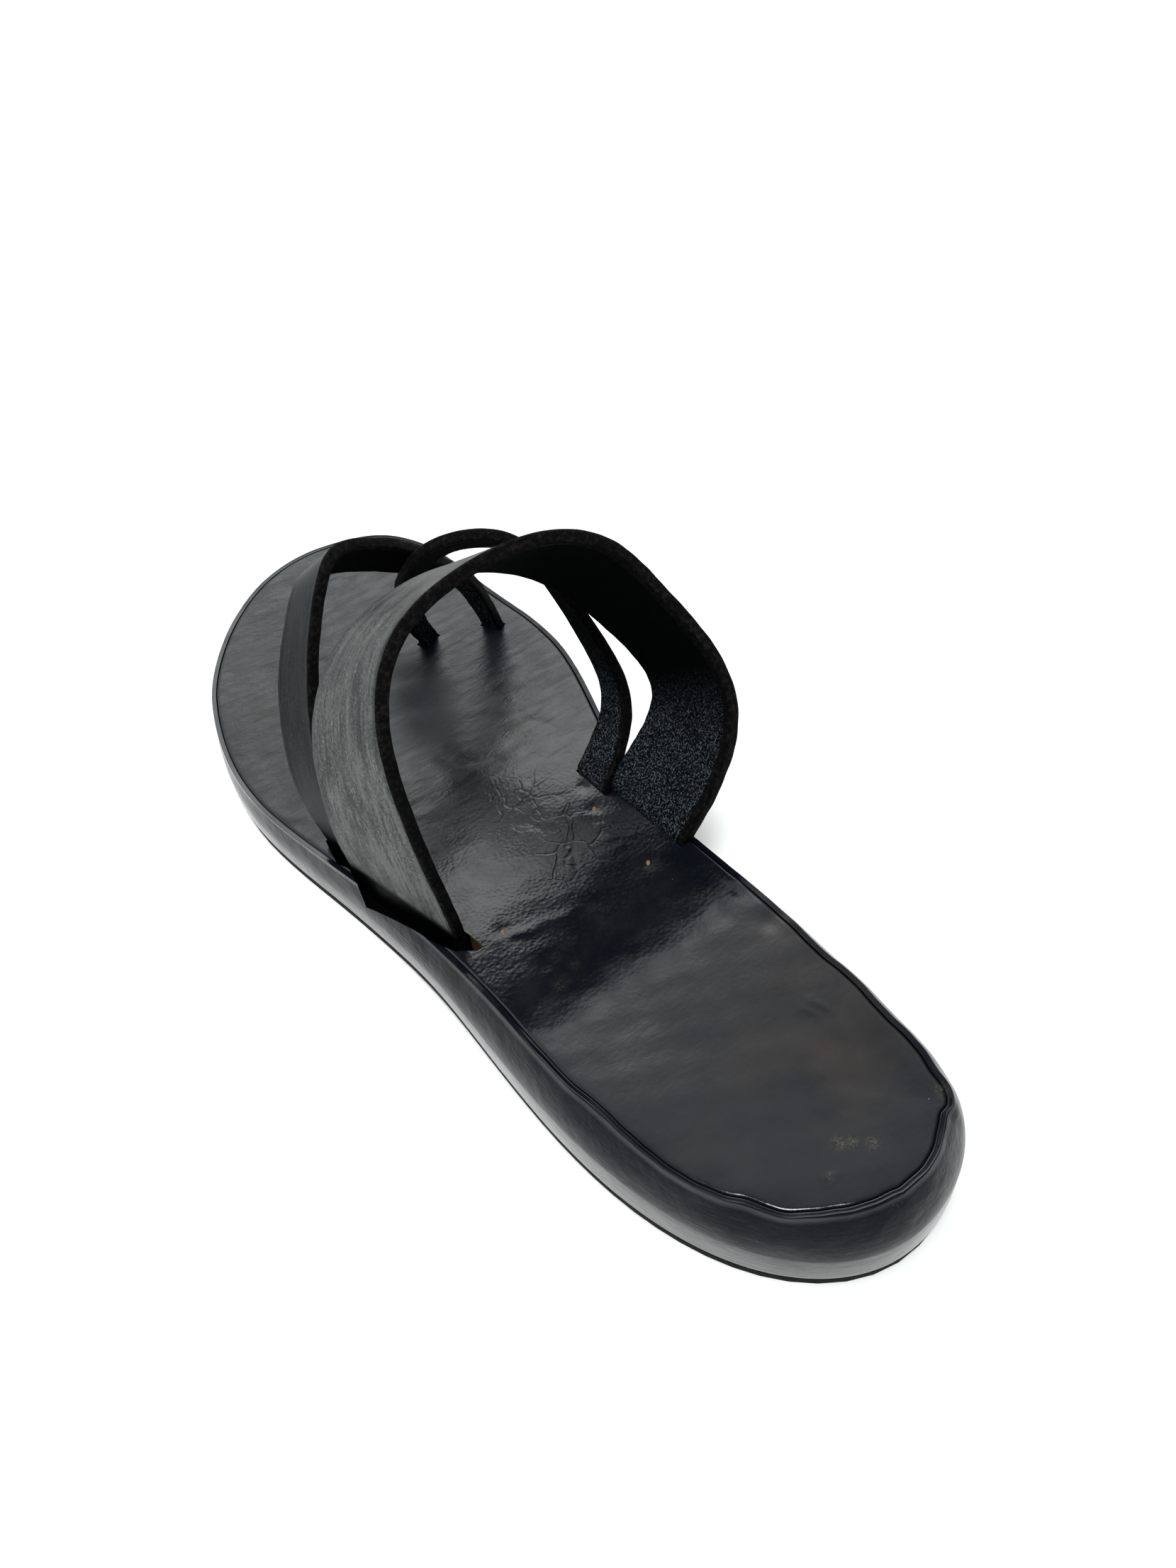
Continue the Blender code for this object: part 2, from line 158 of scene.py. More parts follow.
MEDIAL_STRAP_ROWS = [
    (0.33, 0.761, 0.00, 72.0, 0.0, 0.58),
    (0.20, 0.737, 0.29, 85.0, -3.0, 0.64),
    (0.20, 0.704, 0.55, 88.0, 8.0, 0.70),
    (0.28, 0.668, 0.71, 80.0, 30.0, 0.76),
    (0.41, 0.633, 0.77, 57.0, 47.0, 0.88),
    (0.54, 0.601, 0.75, 31.0, 48.0, 0.95),
    (0.61, 0.564, 0.62, 18.0, 42.0, 0.98),
    (0.66, 0.525, 0.43, 6.0, 34.0, 1.00),
    (0.65, 0.493, 0.21, -2.0, 22.0, 1.00),
    (0.43, 0.475, 0.00, -2.0, 0.0, 1.10),
]

# Width of the rolled edge in mm, from the heel's back to the toe, on each side
LATERAL_EDGE_ROWS = [
    # along, width
    (0.000, 6.2),
    (0.045, 4.9),
    (0.062, 5.3),
    (0.080, 4.5),
    (0.115, 4.2),
    (0.155, 5.5),
    (0.190, 6.0),
    (0.230, 5.3),
    (0.300, 5.4),
    (0.400, 4.2),
    (0.560, 2.2),
    (0.720, 2.3),
    (0.820, 2.5),
    (0.930, 4.6),
    (1.000, 5.2),
]
MEDIAL_EDGE_ROWS = [
    # along, width
    (0.000, 6.2),
    (0.022, 6.5),
    (0.030, 5.3),
    (0.040, 5.4),
    (0.060, 6.6),
    (0.110, 7.0),
    (0.160, 6.4),
    (0.200, 7.0),
    (0.240, 6.1),
    (0.350, 3.6),
    (0.530, 2.3),
    (0.600, 2.6),
    (0.700, 3.8),
    (0.850, 4.8),
    (1.000, 5.2),
]

# How far the wrap's crest stands above the footbed's edge in mm, on each side
LATERAL_RIDGE_ROWS = [
    # along, height
    (0.000, 0.75),
    (0.060, 0.60),
    (0.150, 0.70),
    (0.240, 0.45),
    (0.300, 0.08),
    (0.560, 0.10),
    (0.800, 0.18),
    (1.000, 0.15),
]
MEDIAL_RIDGE_ROWS = [
    # along, height
    (0.000, 0.75),
    (0.035, 0.55),
    (0.060, 0.35),
    (0.100, 0.05),
    (0.600, 0.08),
    (1.000, 0.15),
]

# Creases and ridges of the bed in mm; minus is a crease
BED_CREASES = [
    # x0, y0, x1, y1, half_width, height
    (-2.0, -6.0, 2.5, -8.5, 0.6, -0.09),
    (2.5, -8.5, 3.5, -15.5, 0.5, -0.07),
    (9.5, -13.0, 7.5, -19.0, 0.5, -0.08),
    (7.5, -19.0, 4.0, -29.0, 0.6, -0.10),
    (4.0, -29.0, 2.0, -33.0, 0.6, -0.06),
    (4.0, -14.5, 7.5, -17.5, 0.5, -0.06),
    (-4.0, 27.5, 3.5, 20.0, 1.6, -0.16),
    (3.5, 20.0, 12.0, 15.0, 1.8, -0.14),
    (22.5, 28.0, 28.0, 15.0, 2.0, -0.10),
    (12.0, 40.0, 24.0, 33.0, 2.2, 0.10),
    (-15.5, 24.5, -9.0, 23.5, 0.8, 0.12),
    (-18.0, 22.5, -12.0, 20.0, 0.8, 0.12),
    (-20.5, 20.5, -12.5, 16.5, 0.9, 0.12),
    (-22.0, 14.0, -13.0, 10.5, 1.0, 0.09),
    (12.0, -21.5, 20.0, -26.0, 0.9, 0.10),
    (10.5, -26.0, 20.0, -30.0, 0.9, 0.11),
    (10.0, -29.5, 18.5, -33.0, 0.8, 0.10),
    (13.0, -16.0, 21.0, -21.0, 0.9, 0.07),
    (-41.0, 93.5, -32.0, 89.0, 0.9, 0.14),
    (-46.0, 62.0, -38.0, 58.0, 1.6, -0.10),
    (-15.0, 96.0, -1.5, 84.0, 1.6, 0.10),
    (-49.0, 39.0, -41.0, 28.0, 1.6, 0.16),
    (-25.0, -36.5, -14.0, -39.5, 1.0, 0.16),
    (-14.0, -39.5, -3.0, -41.0, 1.1, 0.10),
    (12.0, -47.5, 15.0, -53.0, 0.5, 0.05),
    (20.5, -94.5, 21.5, -100.0, 0.8, 0.07),
    (17.5, -95.5, 18.5, -99.5, 0.7, 0.05),
    (29.0, -57.5, 30.5, -63.0, 0.9, 0.14),
    (26.5, -58.0, 28.0, -64.0, 0.8, -0.10),
    (-5.0, -127.0, -1.5, -128.0, 0.7, 0.06),
]

# How much deeper the creases are cut than their rows say
CREASE_STRENGTH = 1.5

# Dents of the bed in mm
BED_DENTS = [
    # x, y, radius, depth
    (-22.0, -35.5, 2.2, 0.28),
    (17.5, -40.5, 1.9, 0.25),
    (18.0, -17.0, 1.7, 0.22),
    (20.5, -8.5, 1.6, 0.40),
    (20.5, -64.0, 2.6, 0.12),
    (-20.0, -50.0, 2.2, 0.12),
    (-14.0, -54.5, 2.0, 0.10),
    (29.5, -70.0, 3.0, -0.14),
    (30.5, -77.5, 2.4, -0.16),
    (30.0, -83.0, 2.6, -0.10),
    (27.0, -74.0, 2.4, 0.25),
    (-6.0, 33.0, 6.0, 0.16),
    (8.0, 24.0, 9.0, 0.18),
    (-20.0, 38.0, 7.0, -0.14),
]

# Pale scuffs, in mm
SCUFF_ROWS = [
    # x, y, radius, amount
    (2.5, -123.0, 1.3, 0.9),
    (4.5, -124.5, 1.1, 1.0),
    (7.5, -127.0, 1.2, 0.8),
    (-4.0, -127.0, 1.0, 0.5),
    (-35.5, -42.0, 1.2, 0.7),
    (-36.0, -46.0, 1.0, 0.5),
    (26.5, -127.5, 1.3, 0.6),
    (3.0, -138.5, 1.2, 0.4),
    (-20.5, -57.0, 1.4, 0.4),
    (-14.0, -54.5, 1.2, 0.3),
]

# Brown wear, in mm
WEAR_ROWS = [
    (24.0, -95.0, 12.0, 0.8),
    (14.0, -108.0, 13.0, 0.7),
    (3.0, -98.0, 12.0, 0.4),
    (27.0, -78.0, 7.0, 0.6),
    (-30.0, 70.0, 12.0, 0.5),
    (-18.0, 100.0, 12.0, 0.4),
    (-20.0, 35.0, 9.0, 0.4),
]

# Dull places of the footbed, in mm
MATT_ROWS = [
    (8.0, 66.0, 7.0, 0.8),
    (5.0, 54.0, 9.0, 1.0),
    (1.0, 43.0, 8.0, 0.8),
]

# Tacks, in mm
TACK_ROWS = [
    # x, y, proud
    (-22.0, -35.5, 0.25),
    (17.5, -40.5, 0.20),
    (18.0, -17.0, 0.20),
]

# Slots: spare is width towards the rim, and run_on leads towards the heel
SLOT_ROWS = [
    # strap, end, spare, run_on
    ("instep", "first", LATERAL_SLOT_SPARE, LATERAL_SLOT_RUN_ON),
    ("lateral", "first", LATERAL_SLOT_SPARE, 0.0),
    ("lateral", "last", 0.0, 0.0),
    ("medial", "first", 0.0, 0.0),
    ("medial", "last", MEDIAL_SLOT_SPARE, 0.0),
    ("instep", "last", MEDIAL_SLOT_SPARE, 0.0),
]

# How pale each strap's outer skin has bloomed
BLOOMS = {"instep": 1.2, "lateral": 0.09, "medial": 0.12}

# Colours, linear; a pair is mixed by a noise
WRAP_BLACKS = (0.0014, 0.0020, 0.0044), (0.0034, 0.0042, 0.0072)
WRAP_WORN = (0.012, 0.008, 0.006)
# Next: a painted reflection of the floor, laid as pale grey low on the wrap's side
WRAP_FLOOR_REFLECTION = (0.060, 0.061, 0.061)
WRAP_SCUFF = (0.06, 0.055, 0.045)
BED_BLACKS = (0.0026, 0.0034, 0.0060), (0.0052, 0.0058, 0.0078)
BED_WORN = (0.018, 0.012, 0.010)
BED_SCUFF = (0.08, 0.07, 0.045)
BED_SPECK = (0.16, 0.16, 0.15)
# First: painted shade for the skin low in the slot, mixed in where there is no bloom; second: the
# skin's own black
SKIN_ROOT_SHADE_AND_BLACK = (0.0012, 0.0014, 0.0020), (0.0070, 0.0085, 0.0105)
SKIN_BLOOM = (0.138, 0.139, 0.136)
SKIN_FLAKE = (0.27, 0.28, 0.28)
SUEDE_BLACKS = (0.0006, 0.0010, 0.0012), (0.0012, 0.0018, 0.0022)
# Pale speckled nap as painted light, for the lit lower inner face of the straps
SUEDE_NAP_LIGHT = (0.100, 0.118, 0.138)
CUT_BLACKS = (0.0016, 0.0017, 0.0020), (0.014, 0.012, 0.0105)
RAW_TAN = (0.13, 0.075, 0.04)
SLOT_BLACK = (0.0012, 0.0012, 0.0015)
TACK_BROWN = (0.20, 0.14, 0.09)
OUTSOLE_BLACK = (0.009, 0.008, 0.008)
FLOOR_PALE = (0.93, 0.93, 0.93)


# Curves through table rows

def ramp(value, low, high):
    """0 at low, 1 at high and straight in between; low may be the larger one."""
    return np.clip((value - low) / (high - low), 0, 1)


def closed_spline(points, count):
    """Smooth closed curve through points, with count samples on each span."""
    points = np.asarray(points, float)
    steps = np.roll(points, -1, axis=0) - points
    spans = np.linalg.norm(steps, axis=1)
    before = np.roll(spans, 1)
    matrix = np.diag(2 * (before + spans))
    matrix += np.roll(np.diag(before), -1, axis=1) + np.roll(np.diag(spans), 1, axis=1)
    slopes = steps / spans[:, None]
    bend = np.linalg.solve(matrix, 6 * (slopes - np.roll(slopes, 1, axis=0)))
    samples = []
    for i, span in enumerate(spans):
        j = (i + 1) % len(spans)
        for b in np.arange(count) / count:
            a = 1 - b
            curl = (a**3 - a) * bend[i] + (b**3 - b) * bend[j]
            samples.append(a * points[i] + b * points[j] + curl * span**2 / 6)
    return np.array(samples)


def open_spline(rows, count):
    """Natural cubic curve through rows, sampled evenly from the first row to the last."""
    rows = np.asarray(rows, float)
    size = len(rows)
    matrix = np.eye(size)
    right = np.zeros_like(rows)
    for i in range(1, size - 1):
        matrix[i, i - 1:i + 2] = (1, 4, 1)
        right[i] = 6 * (rows[i + 1] - 2 * rows[i] + rows[i - 1])
    bend = np.linalg.solve(matrix, right)
    samples = []
    for place in np.linspace(0, size - 1, count):
        i = min(int(place), size - 2)
        a, b = i + 1 - place, place - i
        curl = (a**3 - a) * bend[i] + (b**3 - b) * bend[i + 1]
        samples.append(a * rows[i] + b * rows[i + 1] + curl / 6)
    return np.array(samples)


def steady(x, rows):
    """Values at the places x of a table (place, value), eased without overshoot."""
    places, values = np.array(rows, float).T
    steps = np.diff(values) / np.diff(places)
    slopes = [0.0]
    for before, after in zip(steps[:-1], steps[1:]):
        slopes.append(0.0 if before * after <= 0 else 2 * before * after / (before + after))
    slopes = np.array(slopes + [0.0])
    x = np.clip(x, places[0], places[-1])
    i = np.minimum(np.searchsorted(places, x, side="right") - 1, len(rows) - 2)
    width = places[i + 1] - places[i]
    t = (x - places[i]) / width
    start = (2 * t**3 - 3 * t**2 + 1) * values[i] + (t**3 - 2 * t**2 + t) * width * slopes[i]
    end = (3 * t**2 - 2 * t**3) * values[i + 1] + (t**3 - t**2) * width * slopes[i + 1]
    return start + end


# Sole surfaces, in last coordinates: x from the heel's centre line, y from the heel's back

def sole_outline():
    """The outline in even steps, up the little-toe side and back down the big-toe side."""
    half = BALL_WIDTH / 2
    points = [(0.0, 0.0)]
    points += [(-row[1] * half, row[0] * SOLE_LENGTH) for row in OUTLINE_ROWS]
    points.append((TOE_TIP_ACROSS * half, SOLE_LENGTH))
    points += [(row[2] * half, row[0] * SOLE_LENGTH) for row in reversed(OUTLINE_ROWS)]
    dense = closed_spline(points, SPLINE_SAMPLES)
    tip = SPLINE_SAMPLES * (len(OUTLINE_ROWS) + 1)
    sides = []
    for side in (dense[:tip + 1], np.vstack([dense[tip:], dense[:1]])):
        steps = np.linalg.norm(np.diff(side, axis=0), axis=1)
        reach = np.concatenate([[0], np.cumsum(steps)])
        wanted = np.linspace(0, reach[-1], OUTLINE_POINTS // 2 + 1)[:-1]
        sides.append(np.column_stack([np.interp(wanted, reach, side[:, k]) for k in (0, 1)]))
    return np.vstack(sides)


OUTLINE = sole_outline()
FRAME_X, FRAME_Y = (OUTLINE.max(axis=0) + OUTLINE.min(axis=0)) / 2


def bed_height(y):
    """Height of the footbed's edge above the floor."""
    return HEEL_HEIGHT + (TOE_HEIGHT - HEEL_HEIGHT) * steady(y / SOLE_LENGTH, BED_ROWS)


def floor_lift(y):
    """How far the sole's underside stands off the floor, at the arch and at the toe."""
    share = y / SOLE_LENGTH
    arch = np.sin(np.pi * ramp(share, ARCH_FROM, ARCH_TO))**2
    spring = ramp(share, SPRING_FROM, SPRING_TO)**2
    return ARCH_LIFT * arch + TOE_SPRING * spring


def inset(outline, distance):
    """The closed outline moved inwards by distance, one number or one for each point."""
    along = np.roll(outline, -1, axis=0) - np.roll(outline, 1, axis=0)
    along /= np.linalg.norm(along, axis=1)[:, None]
    inward = np.column_stack([along[:, 1], -along[:, 0]])
    return outline + inward * np.reshape(distance, (-1, 1))


def shrink(outline, share):
    """The outline drawn towards the middle line of the sole."""
    low, high, ease = (part * SOLE_LENGTH for part in (SPINE_FROM, SPINE_TO, SPINE_EASE))
    middle = low + ease * np.logaddexp(0, (outline[:, 1] - low) / ease)
    middle = high - ease * np.logaddexp(0, (high - middle) / ease)
    spine = np.column_stack([np.full(len(outline), SPINE_ACROSS * BALL_WIDTH / 2), middle])
    return spine + (outline - spine) * share


def raised(flat, height):
    """A flat ring with a height for each of its points."""
    return np.column_stack([flat, np.broadcast_to(height, len(flat))])


def both_sides(lateral_rows, medial_rows):
    """Values in metres at every outline point, from one table in mm for each side."""
    half = len(OUTLINE) // 2
    along = OUTLINE[:, 1] / SOLE_LENGTH
    lateral, medial = steady(along[:half], lateral_rows), steady(along[half:], medial_rows)
    return np.concatenate([lateral, medial]) * MM


def edge_widths():
    """Width of the rolled edge, wavering at the heel."""
    count = np.arange(len(OUTLINE))
    wave = 0.22 * np.sin(count * 0.19) + 0.13 * np.sin(count * 0.43 + 1.0)
    wave += 0.05 * np.sin(count * 1.1)
    at_heel = ramp(OUTLINE[:, 1] / SOLE_LENGTH, 0.325, 0.075)
    return both_sides(LATERAL_EDGE_ROWS, MEDIAL_EDGE_ROWS) + wave * at_heel * MM


EDGE_WIDTHS = edge_widths()
RIDGE_HEIGHTS = both_sides(LATERAL_RIDGE_ROWS, MEDIAL_RIDGE_ROWS)


def relief(x, y):
    """Unevenness of the hand-worked bed, in metres at last coordinates in metres."""
    x, y = (x - FRAME_X) / MM, (y - FRAME_Y) / MM
    # broad waves, calmer at the heel, and small ones everywhere
    height = 0.22 * np.sin(x / 9.0 + 0.9 * np.sin(y / 12.0)) * np.sin(y / 14.0 + 1.1)
    height += 0.09 * np.sin(x / 4.3 - y / 7.1) * np.sin(y / 5.3 + x / 15.0)
    height *= 0.35 + 0.65 * ramp(y, -75, -25)
    height += 0.03 * np.sin(x / 1.9 + y / 3.1) * np.sin(y / 2.3 - x / 6.0)
    # creases waver off their straight lines
    bent_x = x + 0.5 * np.sin(y / 1.7) + 0.3 * np.sin(y / 0.9 + x)
    bent_y = y + 0.5 * np.sin(x / 1.5 + 0.6)
    for x0, y0, x1, y1, half_width, rise in BED_CREASES:
        run = (x1 - x0)**2 + (y1 - y0)**2
        share = np.clip(((bent_x - x0) * (x1 - x0) + (bent_y - y0) * (y1 - y0)) / run, 0, 1)
        away = np.hypot(bent_x - x0 - share * (x1 - x0), bent_y - y0 - share * (y1 - y0))
        fade = 0.35 + 0.65 * np.sin(np.pi * np.clip(share, 0.05, 0.95))
        height += CREASE_STRENGTH * rise * fade * np.exp(-(away / half_width)**2)
    for place_x, place_y, radius, depth in BED_DENTS:
        away = np.hypot(x - place_x, y - place_y)
        height -= depth * np.exp(-(away / radius)**2)
    return height * MM


# Straps

def placed_rows(rows, width):
    """A strap's table in metres and radians."""
    half = BALL_WIDTH / 2
    table = []
    for across, along, rise, heading, drop, share in rows:
        y = along * SOLE_LENGTH
        table.append([across * half, y, float(bed_height(y)) + rise * STRAP_RISE,
                      math.radians(heading), math.radians(drop), share * width])
    return table


def strap_stations(table):
    """Places along a strap, with its two ends going straight down into the sole."""
    samples = open_spline(table, STRAP_STATIONS)
    sink = np.linspace(SEAT_DEPTH, 0, SEAT_STEPS + 1)[:-1]
    before = np.repeat(samples[:1], SEAT_STEPS, axis=0)
    before[:, 2] -= sink
    after = np.repeat(samples[-1:], SEAT_STEPS, axis=0)
    after[:, 2] -= sink[::-1]
    return np.vstack([before, samples, after])


def lap_root(table, neighbour, end):
    """Seats one end row of a strap against the inner face of the neighbour's root."""
    root = neighbour[end]
    heading = root[3]
    ahead = (root[5] + table[end][5]) / 2 - ROOT_LAP
    inward = math.copysign(LEATHER - JOIN, -root[0])
    x = root[0] + math.sin(heading) * ahead + math.cos(heading) * inward
    y = root[1] + math.cos(heading) * ahead - math.sin(heading) * inward
    table[end][:4] = [x, y, float(bed_height(y)), heading]


def strap_frames(stations):
    """Middle, direction across and outward normal at every station."""
    middles = stations[:, :3]
    heading, drop = stations[:, 3], stations[:, 4]
    level = np.cos(drop)
    widths = np.column_stack([np.sin(heading) * level, np.cos(heading) * level, -np.sin(drop)])
    along = np.gradient(middles, axis=0)
    normals = np.cross(along, widths)
    normals /= np.linalg.norm(normals, axis=1)[:, None]
    if normals[len(stations) // 2, 2] < 0:
        normals = -normals
    return middles, widths, normals


def draw_under(lower, upper):
    """Draws one strap to the inner face of another where they pass closest."""
    distance = np.linalg.norm(lower[:, None, :3] - upper[None, :, :3], axis=2)
    low, high = np.unravel_index(distance.argmin(), distance.shape)
    normal = strap_frames(upper)[2][high]
    apart = np.dot(upper[high, :3] - lower[low, :3], normal)
    pull = (apart - LEATHER) * normal
    reach = PULL_SHARE * STRAP_STATIONS
    nearness = np.clip(1 - np.abs(np.arange(len(lower)) - low) / reach, 0, 1)
    lower[:, :3] += (3 * nearness**2 - 2 * nearness**3)[:, None] * pull


def make_stations():
    """Stations of the three straps, joined at their roots and where they cross."""
    instep = placed_rows(INSTEP_STRAP_ROWS, INSTEP_STRAP_WIDTH)
    lateral = placed_rows(LATERAL_STRAP_ROWS, LATERAL_STRAP_WIDTH)
    medial = placed_rows(MEDIAL_STRAP_ROWS, MEDIAL_STRAP_WIDTH)
    lap_root(lateral, instep, 0)
    lap_root(medial, instep, -1)
    straps = {"instep": instep, "lateral": lateral, "medial": medial}
    straps = {name: strap_stations(table) for name, table in straps.items()}
    draw_under(straps["medial"], straps["lateral"])
    return straps


# Shader values

class Wire:
    """A shader socket that can be used in sums."""

    def __init__(self, nodes, socket):
        self.nodes = nodes
        self.socket = socket

    def math(self, operation, *values):
        return self.nodes.node("ShaderNodeMath", {"operation": operation}, dict(enumerate(values)))

    def __add__(self, other):
        return self.math("ADD", self, other)

    def __sub__(self, other):
        return self.math("SUBTRACT", self, other)

    def __rsub__(self, other):
        return self.math("SUBTRACT", other, self)

    def __mul__(self, other):
        return self.math("MULTIPLY", self, other)

    def between(self, low, high, start=0.0, end=1.0):
        """From start at low to end at high, eased."""
        return self.nodes.node("ShaderNodeMapRange", {"interpolation_type": "SMOOTHSTEP"},
                               {"Value": self, "From Min": low, "From Max": high,
                                "To Min": start, "To Max": end})


class Nodes:
    """A node tree that is built from expressions."""

    def __init__(self, tree):
        self.tree = tree

    def node(self, kind, settings=None, values=None, output=0):
        """Any node: its settings, its sockets' values or links, and the output wanted."""
        node = self.tree.nodes.new(kind)
        for name, value in (settings or {}).items():
            setattr(node, name, value)
        for name, value in (values or {}).items():
            if isinstance(value, Wire):
                self.tree.links.new(value.socket, node.inputs[name])
            else:
                node.inputs[name].default_value = value
        return Wire(self, node.outputs[output])


class Finish(Nodes):
    """A material built from expressions."""

    def __init__(self, name, roughness=0.5, gloss=0.5):
        self.material = bpy.data.materials.new(name)
        self.material.use_nodes = True
        super().__init__(self.material.node_tree)
        self.shader = self.tree.nodes["Principled BSDF"]
        self.shader.inputs["Roughness"].default_value = roughness
        self.shader.inputs["Specular IOR Level"].default_value = gloss
        self.place = self.node("ShaderNodeTexCoord", output="Object")
        self.strap = self.node("ShaderNodeTexCoord", output="UV")

    def stretched(self, stretch, vector=None):
        """The place scaled by its own amount on each axis."""
        return self.node("ShaderNodeMapping", None,
                         {"Vector": vector or self.place, "Scale": stretch})

    def noise(self, scale, detail=3.0, roughness=0.5, vector=None, distortion=0.0):
        return self.node("ShaderNodeTexNoise", None,
                         {"Vector": vector or self.place, "Scale": scale, "Detail": detail,
                          "Roughness": roughness, "Distortion": distortion})

    def cells(self, scale, feature="F1", vector=None):
        return self.node("ShaderNodeTexVoronoi", {"feature": feature},
                         {"Vector": vector or self.place, "Scale": scale}, "Distance")

    def bent(self, scale, amount):
        """The place moved about by a noise, so that lines laid on it waver."""
        colour = self.node("ShaderNodeTexNoise", None, {"Vector": self.place, "Scale": scale}, "Color")
        return self.node("ShaderNodeVectorMath", {"operation": "MULTIPLY_ADD"},
                         {0: colour, 1: (amount, amount, amount), 2: self.place})

    def part(self, axis):
        """One of the place's three coordinates, X, Y or Z."""
        return self.node("ShaderNodeSeparateXYZ", None, {"Vector": self.place}, "XYZ".index(axis))

    def attribute(self, name):
        return self.node("ShaderNodeAttribute", {"attribute_name": name}, None, "Fac")

    def mix(self, share, first, second):
        """Mixes two colours; each is a colour or a link."""
        full = [value if isinstance(value, Wire) else (*value, 1) for value in (first, second)]
        return self.node("ShaderNodeMix", {"data_type": "RGBA"}, {0: share, 6: full[0], 7: full[1]}, 2)

    def bump(self, height, distance, strength=1.0, normal=None):
        values = {"Height": height, "Distance": distance, "Strength": strength}
        if normal:
            values["Normal"] = normal
        return self.node("ShaderNodeBump", None, values)

    def feed(self, **links):
        """Links expressions to the shader's sockets, and gives back the material."""
        for name, value in links.items():
            self.tree.links.new(value.socket, self.shader.inputs[name.replace("_", " ").title()])
        return self.material


# Meshes

def placed(name, data):
    """A new object in the scene."""
    obj = bpy.data.objects.new(name, data)
    bpy.context.scene.collection.objects.link(obj)
    return obj


def write_values(mesh, label, values):
    """Keeps a number for each vertex as an attribute."""
    attribute = mesh.attributes.new(label, "FLOAT", "POINT")
    attribute.data.foreach_set("value", np.asarray(values, np.float32))


def vertex_places(mesh):
    places = np.empty(len(mesh.vertices) * 3, dtype=np.float32)
    mesh.vertices.foreach_get("co", places)
    return places.reshape(-1, 3)


def closed_mesh(name, verts, faces, materials, uvs=None, attributes=None):
    """A smooth closed mesh, faces outwards, with UVs and attributes for each vertex."""
    mesh = bpy.data.meshes.new(name)
    mesh.from_pydata([tuple(v) for v in verts], [], faces)
    bm = bmesh.new()
    bm.from_mesh(mesh)
    bmesh.ops.recalc_face_normals(bm, faces=bm.faces)
    bm.to_mesh(mesh)
    bm.free()
    if uvs is not None:
        layer = mesh.uv_layers.new(name="UVMap")
        corners = np.empty(len(mesh.loops), dtype=np.int32)
        mesh.loops.foreach_get("vertex_index", corners)
        layer.data.foreach_set("uv", np.asarray(uvs, np.float32)[corners].ravel())
    for label, values in (attributes or {}).items():
        write_values(mesh, label, values)
    mesh.shade_smooth()
    for material in materials:
        mesh.materials.append(material)
    return placed(name, mesh)


def tube_faces(rings, count):
    """Quads between neighbouring rings of count points each."""
    faces = []
    for low in range(0, (rings - 1) * count, count):
        for i in range(count):
            j = (i + 1) % count
            faces.append((low + i, low + j, low + count + j, low + count + i))
    return faces


def stacked_rings(name, rings, material):
    """Closed solid from rings of equal count, bottom first; both ends close as a ladder."""
    count = len(rings[0])
    verts = np.vstack(rings) - (FRAME_X, FRAME_Y, 0)
    faces = tube_faces(len(rings), count)
    for start in (0, (len(rings) - 1) * count):
        for i in range(count // 2):
            j, left, right = i + 1, count - i - 1, (count - i) % count
            faces.append(tuple(dict.fromkeys(start + k for k in (i, j, left, right))))
    return closed_mesh(name, verts, faces, [material])


def settle(obj):
    """Applies an object's modifiers as a plain mesh."""
    graph = bpy.context.evaluated_depsgraph_get()
    mesh = bpy.data.meshes.new_from_object(obj.evaluated_get(graph))
    obj.modifiers.clear()
    obj.data = mesh
    return obj


def paint(obj, label, rows):
    """Writes a table of round patches (x, y, radius, amount in mm) as an attribute."""
    places = vertex_places(obj.data) / MM
    values = np.zeros(len(places))
    for x, y, radius, amount in rows:
        away = np.hypot(places[:, 0] - x, places[:, 1] - y)
        values = np.maximum(values, amount * np.exp(-(away / radius)**2))
    write_values(obj.data, label, values)


def cut(obj, tools):
    """Cuts the tools out of a piece and removes them."""
    for tool in tools:
        modifier = obj.modifiers.new(tool.name, "BOOLEAN")
        modifier.operation = "DIFFERENCE"
        modifier.object = tool
        modifier.solver = "EXACT"
        modifier.material_mode = "TRANSFER"
    settle(obj)
    obj.data.set_sharp_from_angle(angle=math.radians(38))
    for tool in tools:
        bpy.data.objects.remove(tool, do_unlink=True)


def slot_corners(end, spare, run_on):
    """A slot seen from above: corners across the strap and towards the rim."""
    half_width = end[5] / 2 + GAP
    half_wall = LEATHER / 2 + GAP
    rim = half_wall + spare
    corners = [(-half_width, -half_wall), (half_width, -half_wall)]
    if spare == 0:
        return corners + [(half_width, rim), (-half_width, rim)]
    corners += [(half_width, half_wall), (half_width - 2.5 * spare, rim),
                (2.0 * spare - half_width, rim), (-half_width - 0.2 * spare, 0.75 * rim)]
    if run_on:
        corners += [(-half_width - run_on, 0.3 * half_wall),
                    (-half_width - run_on - 0.5 * MM, -0.7 * half_wall)]
    return corners


def slot_tool(name, end, spare, run_on):
    """Cutter for a strap's slot: its ends taper, and spare widens it towards the rim."""
    across = np.array([math.sin(end[3]), math.cos(end[3])])
    aside = np.array([math.cos(end[3]), -math.sin(end[3])])
    if aside[0] * end[0] < 0:
        aside = -aside
    corners = slot_corners(end, spare, run_on)
    verts = []
    for level in (end[2] - SEAT_DEPTH - GAP, end[2] + 2 * SEAT_DEPTH):
        for s, t in corners:
            x, y = end[:2] + across * s + aside * t
            verts.append((x - FRAME_X, y - FRAME_Y, level))
    count = len(corners)
    faces = [tuple(range(count)), tuple(range(count, 2 * count))] + tube_faces(2, count)
    tool = closed_mesh(name, verts, faces, [VOID_FINISH, RAW_FINISH])
    if run_on:
        for face in tool.data.polygons[-3:]:
            face.material_index = 1
    tool.hide_render = True
    return tool


STATIONS = make_stations()


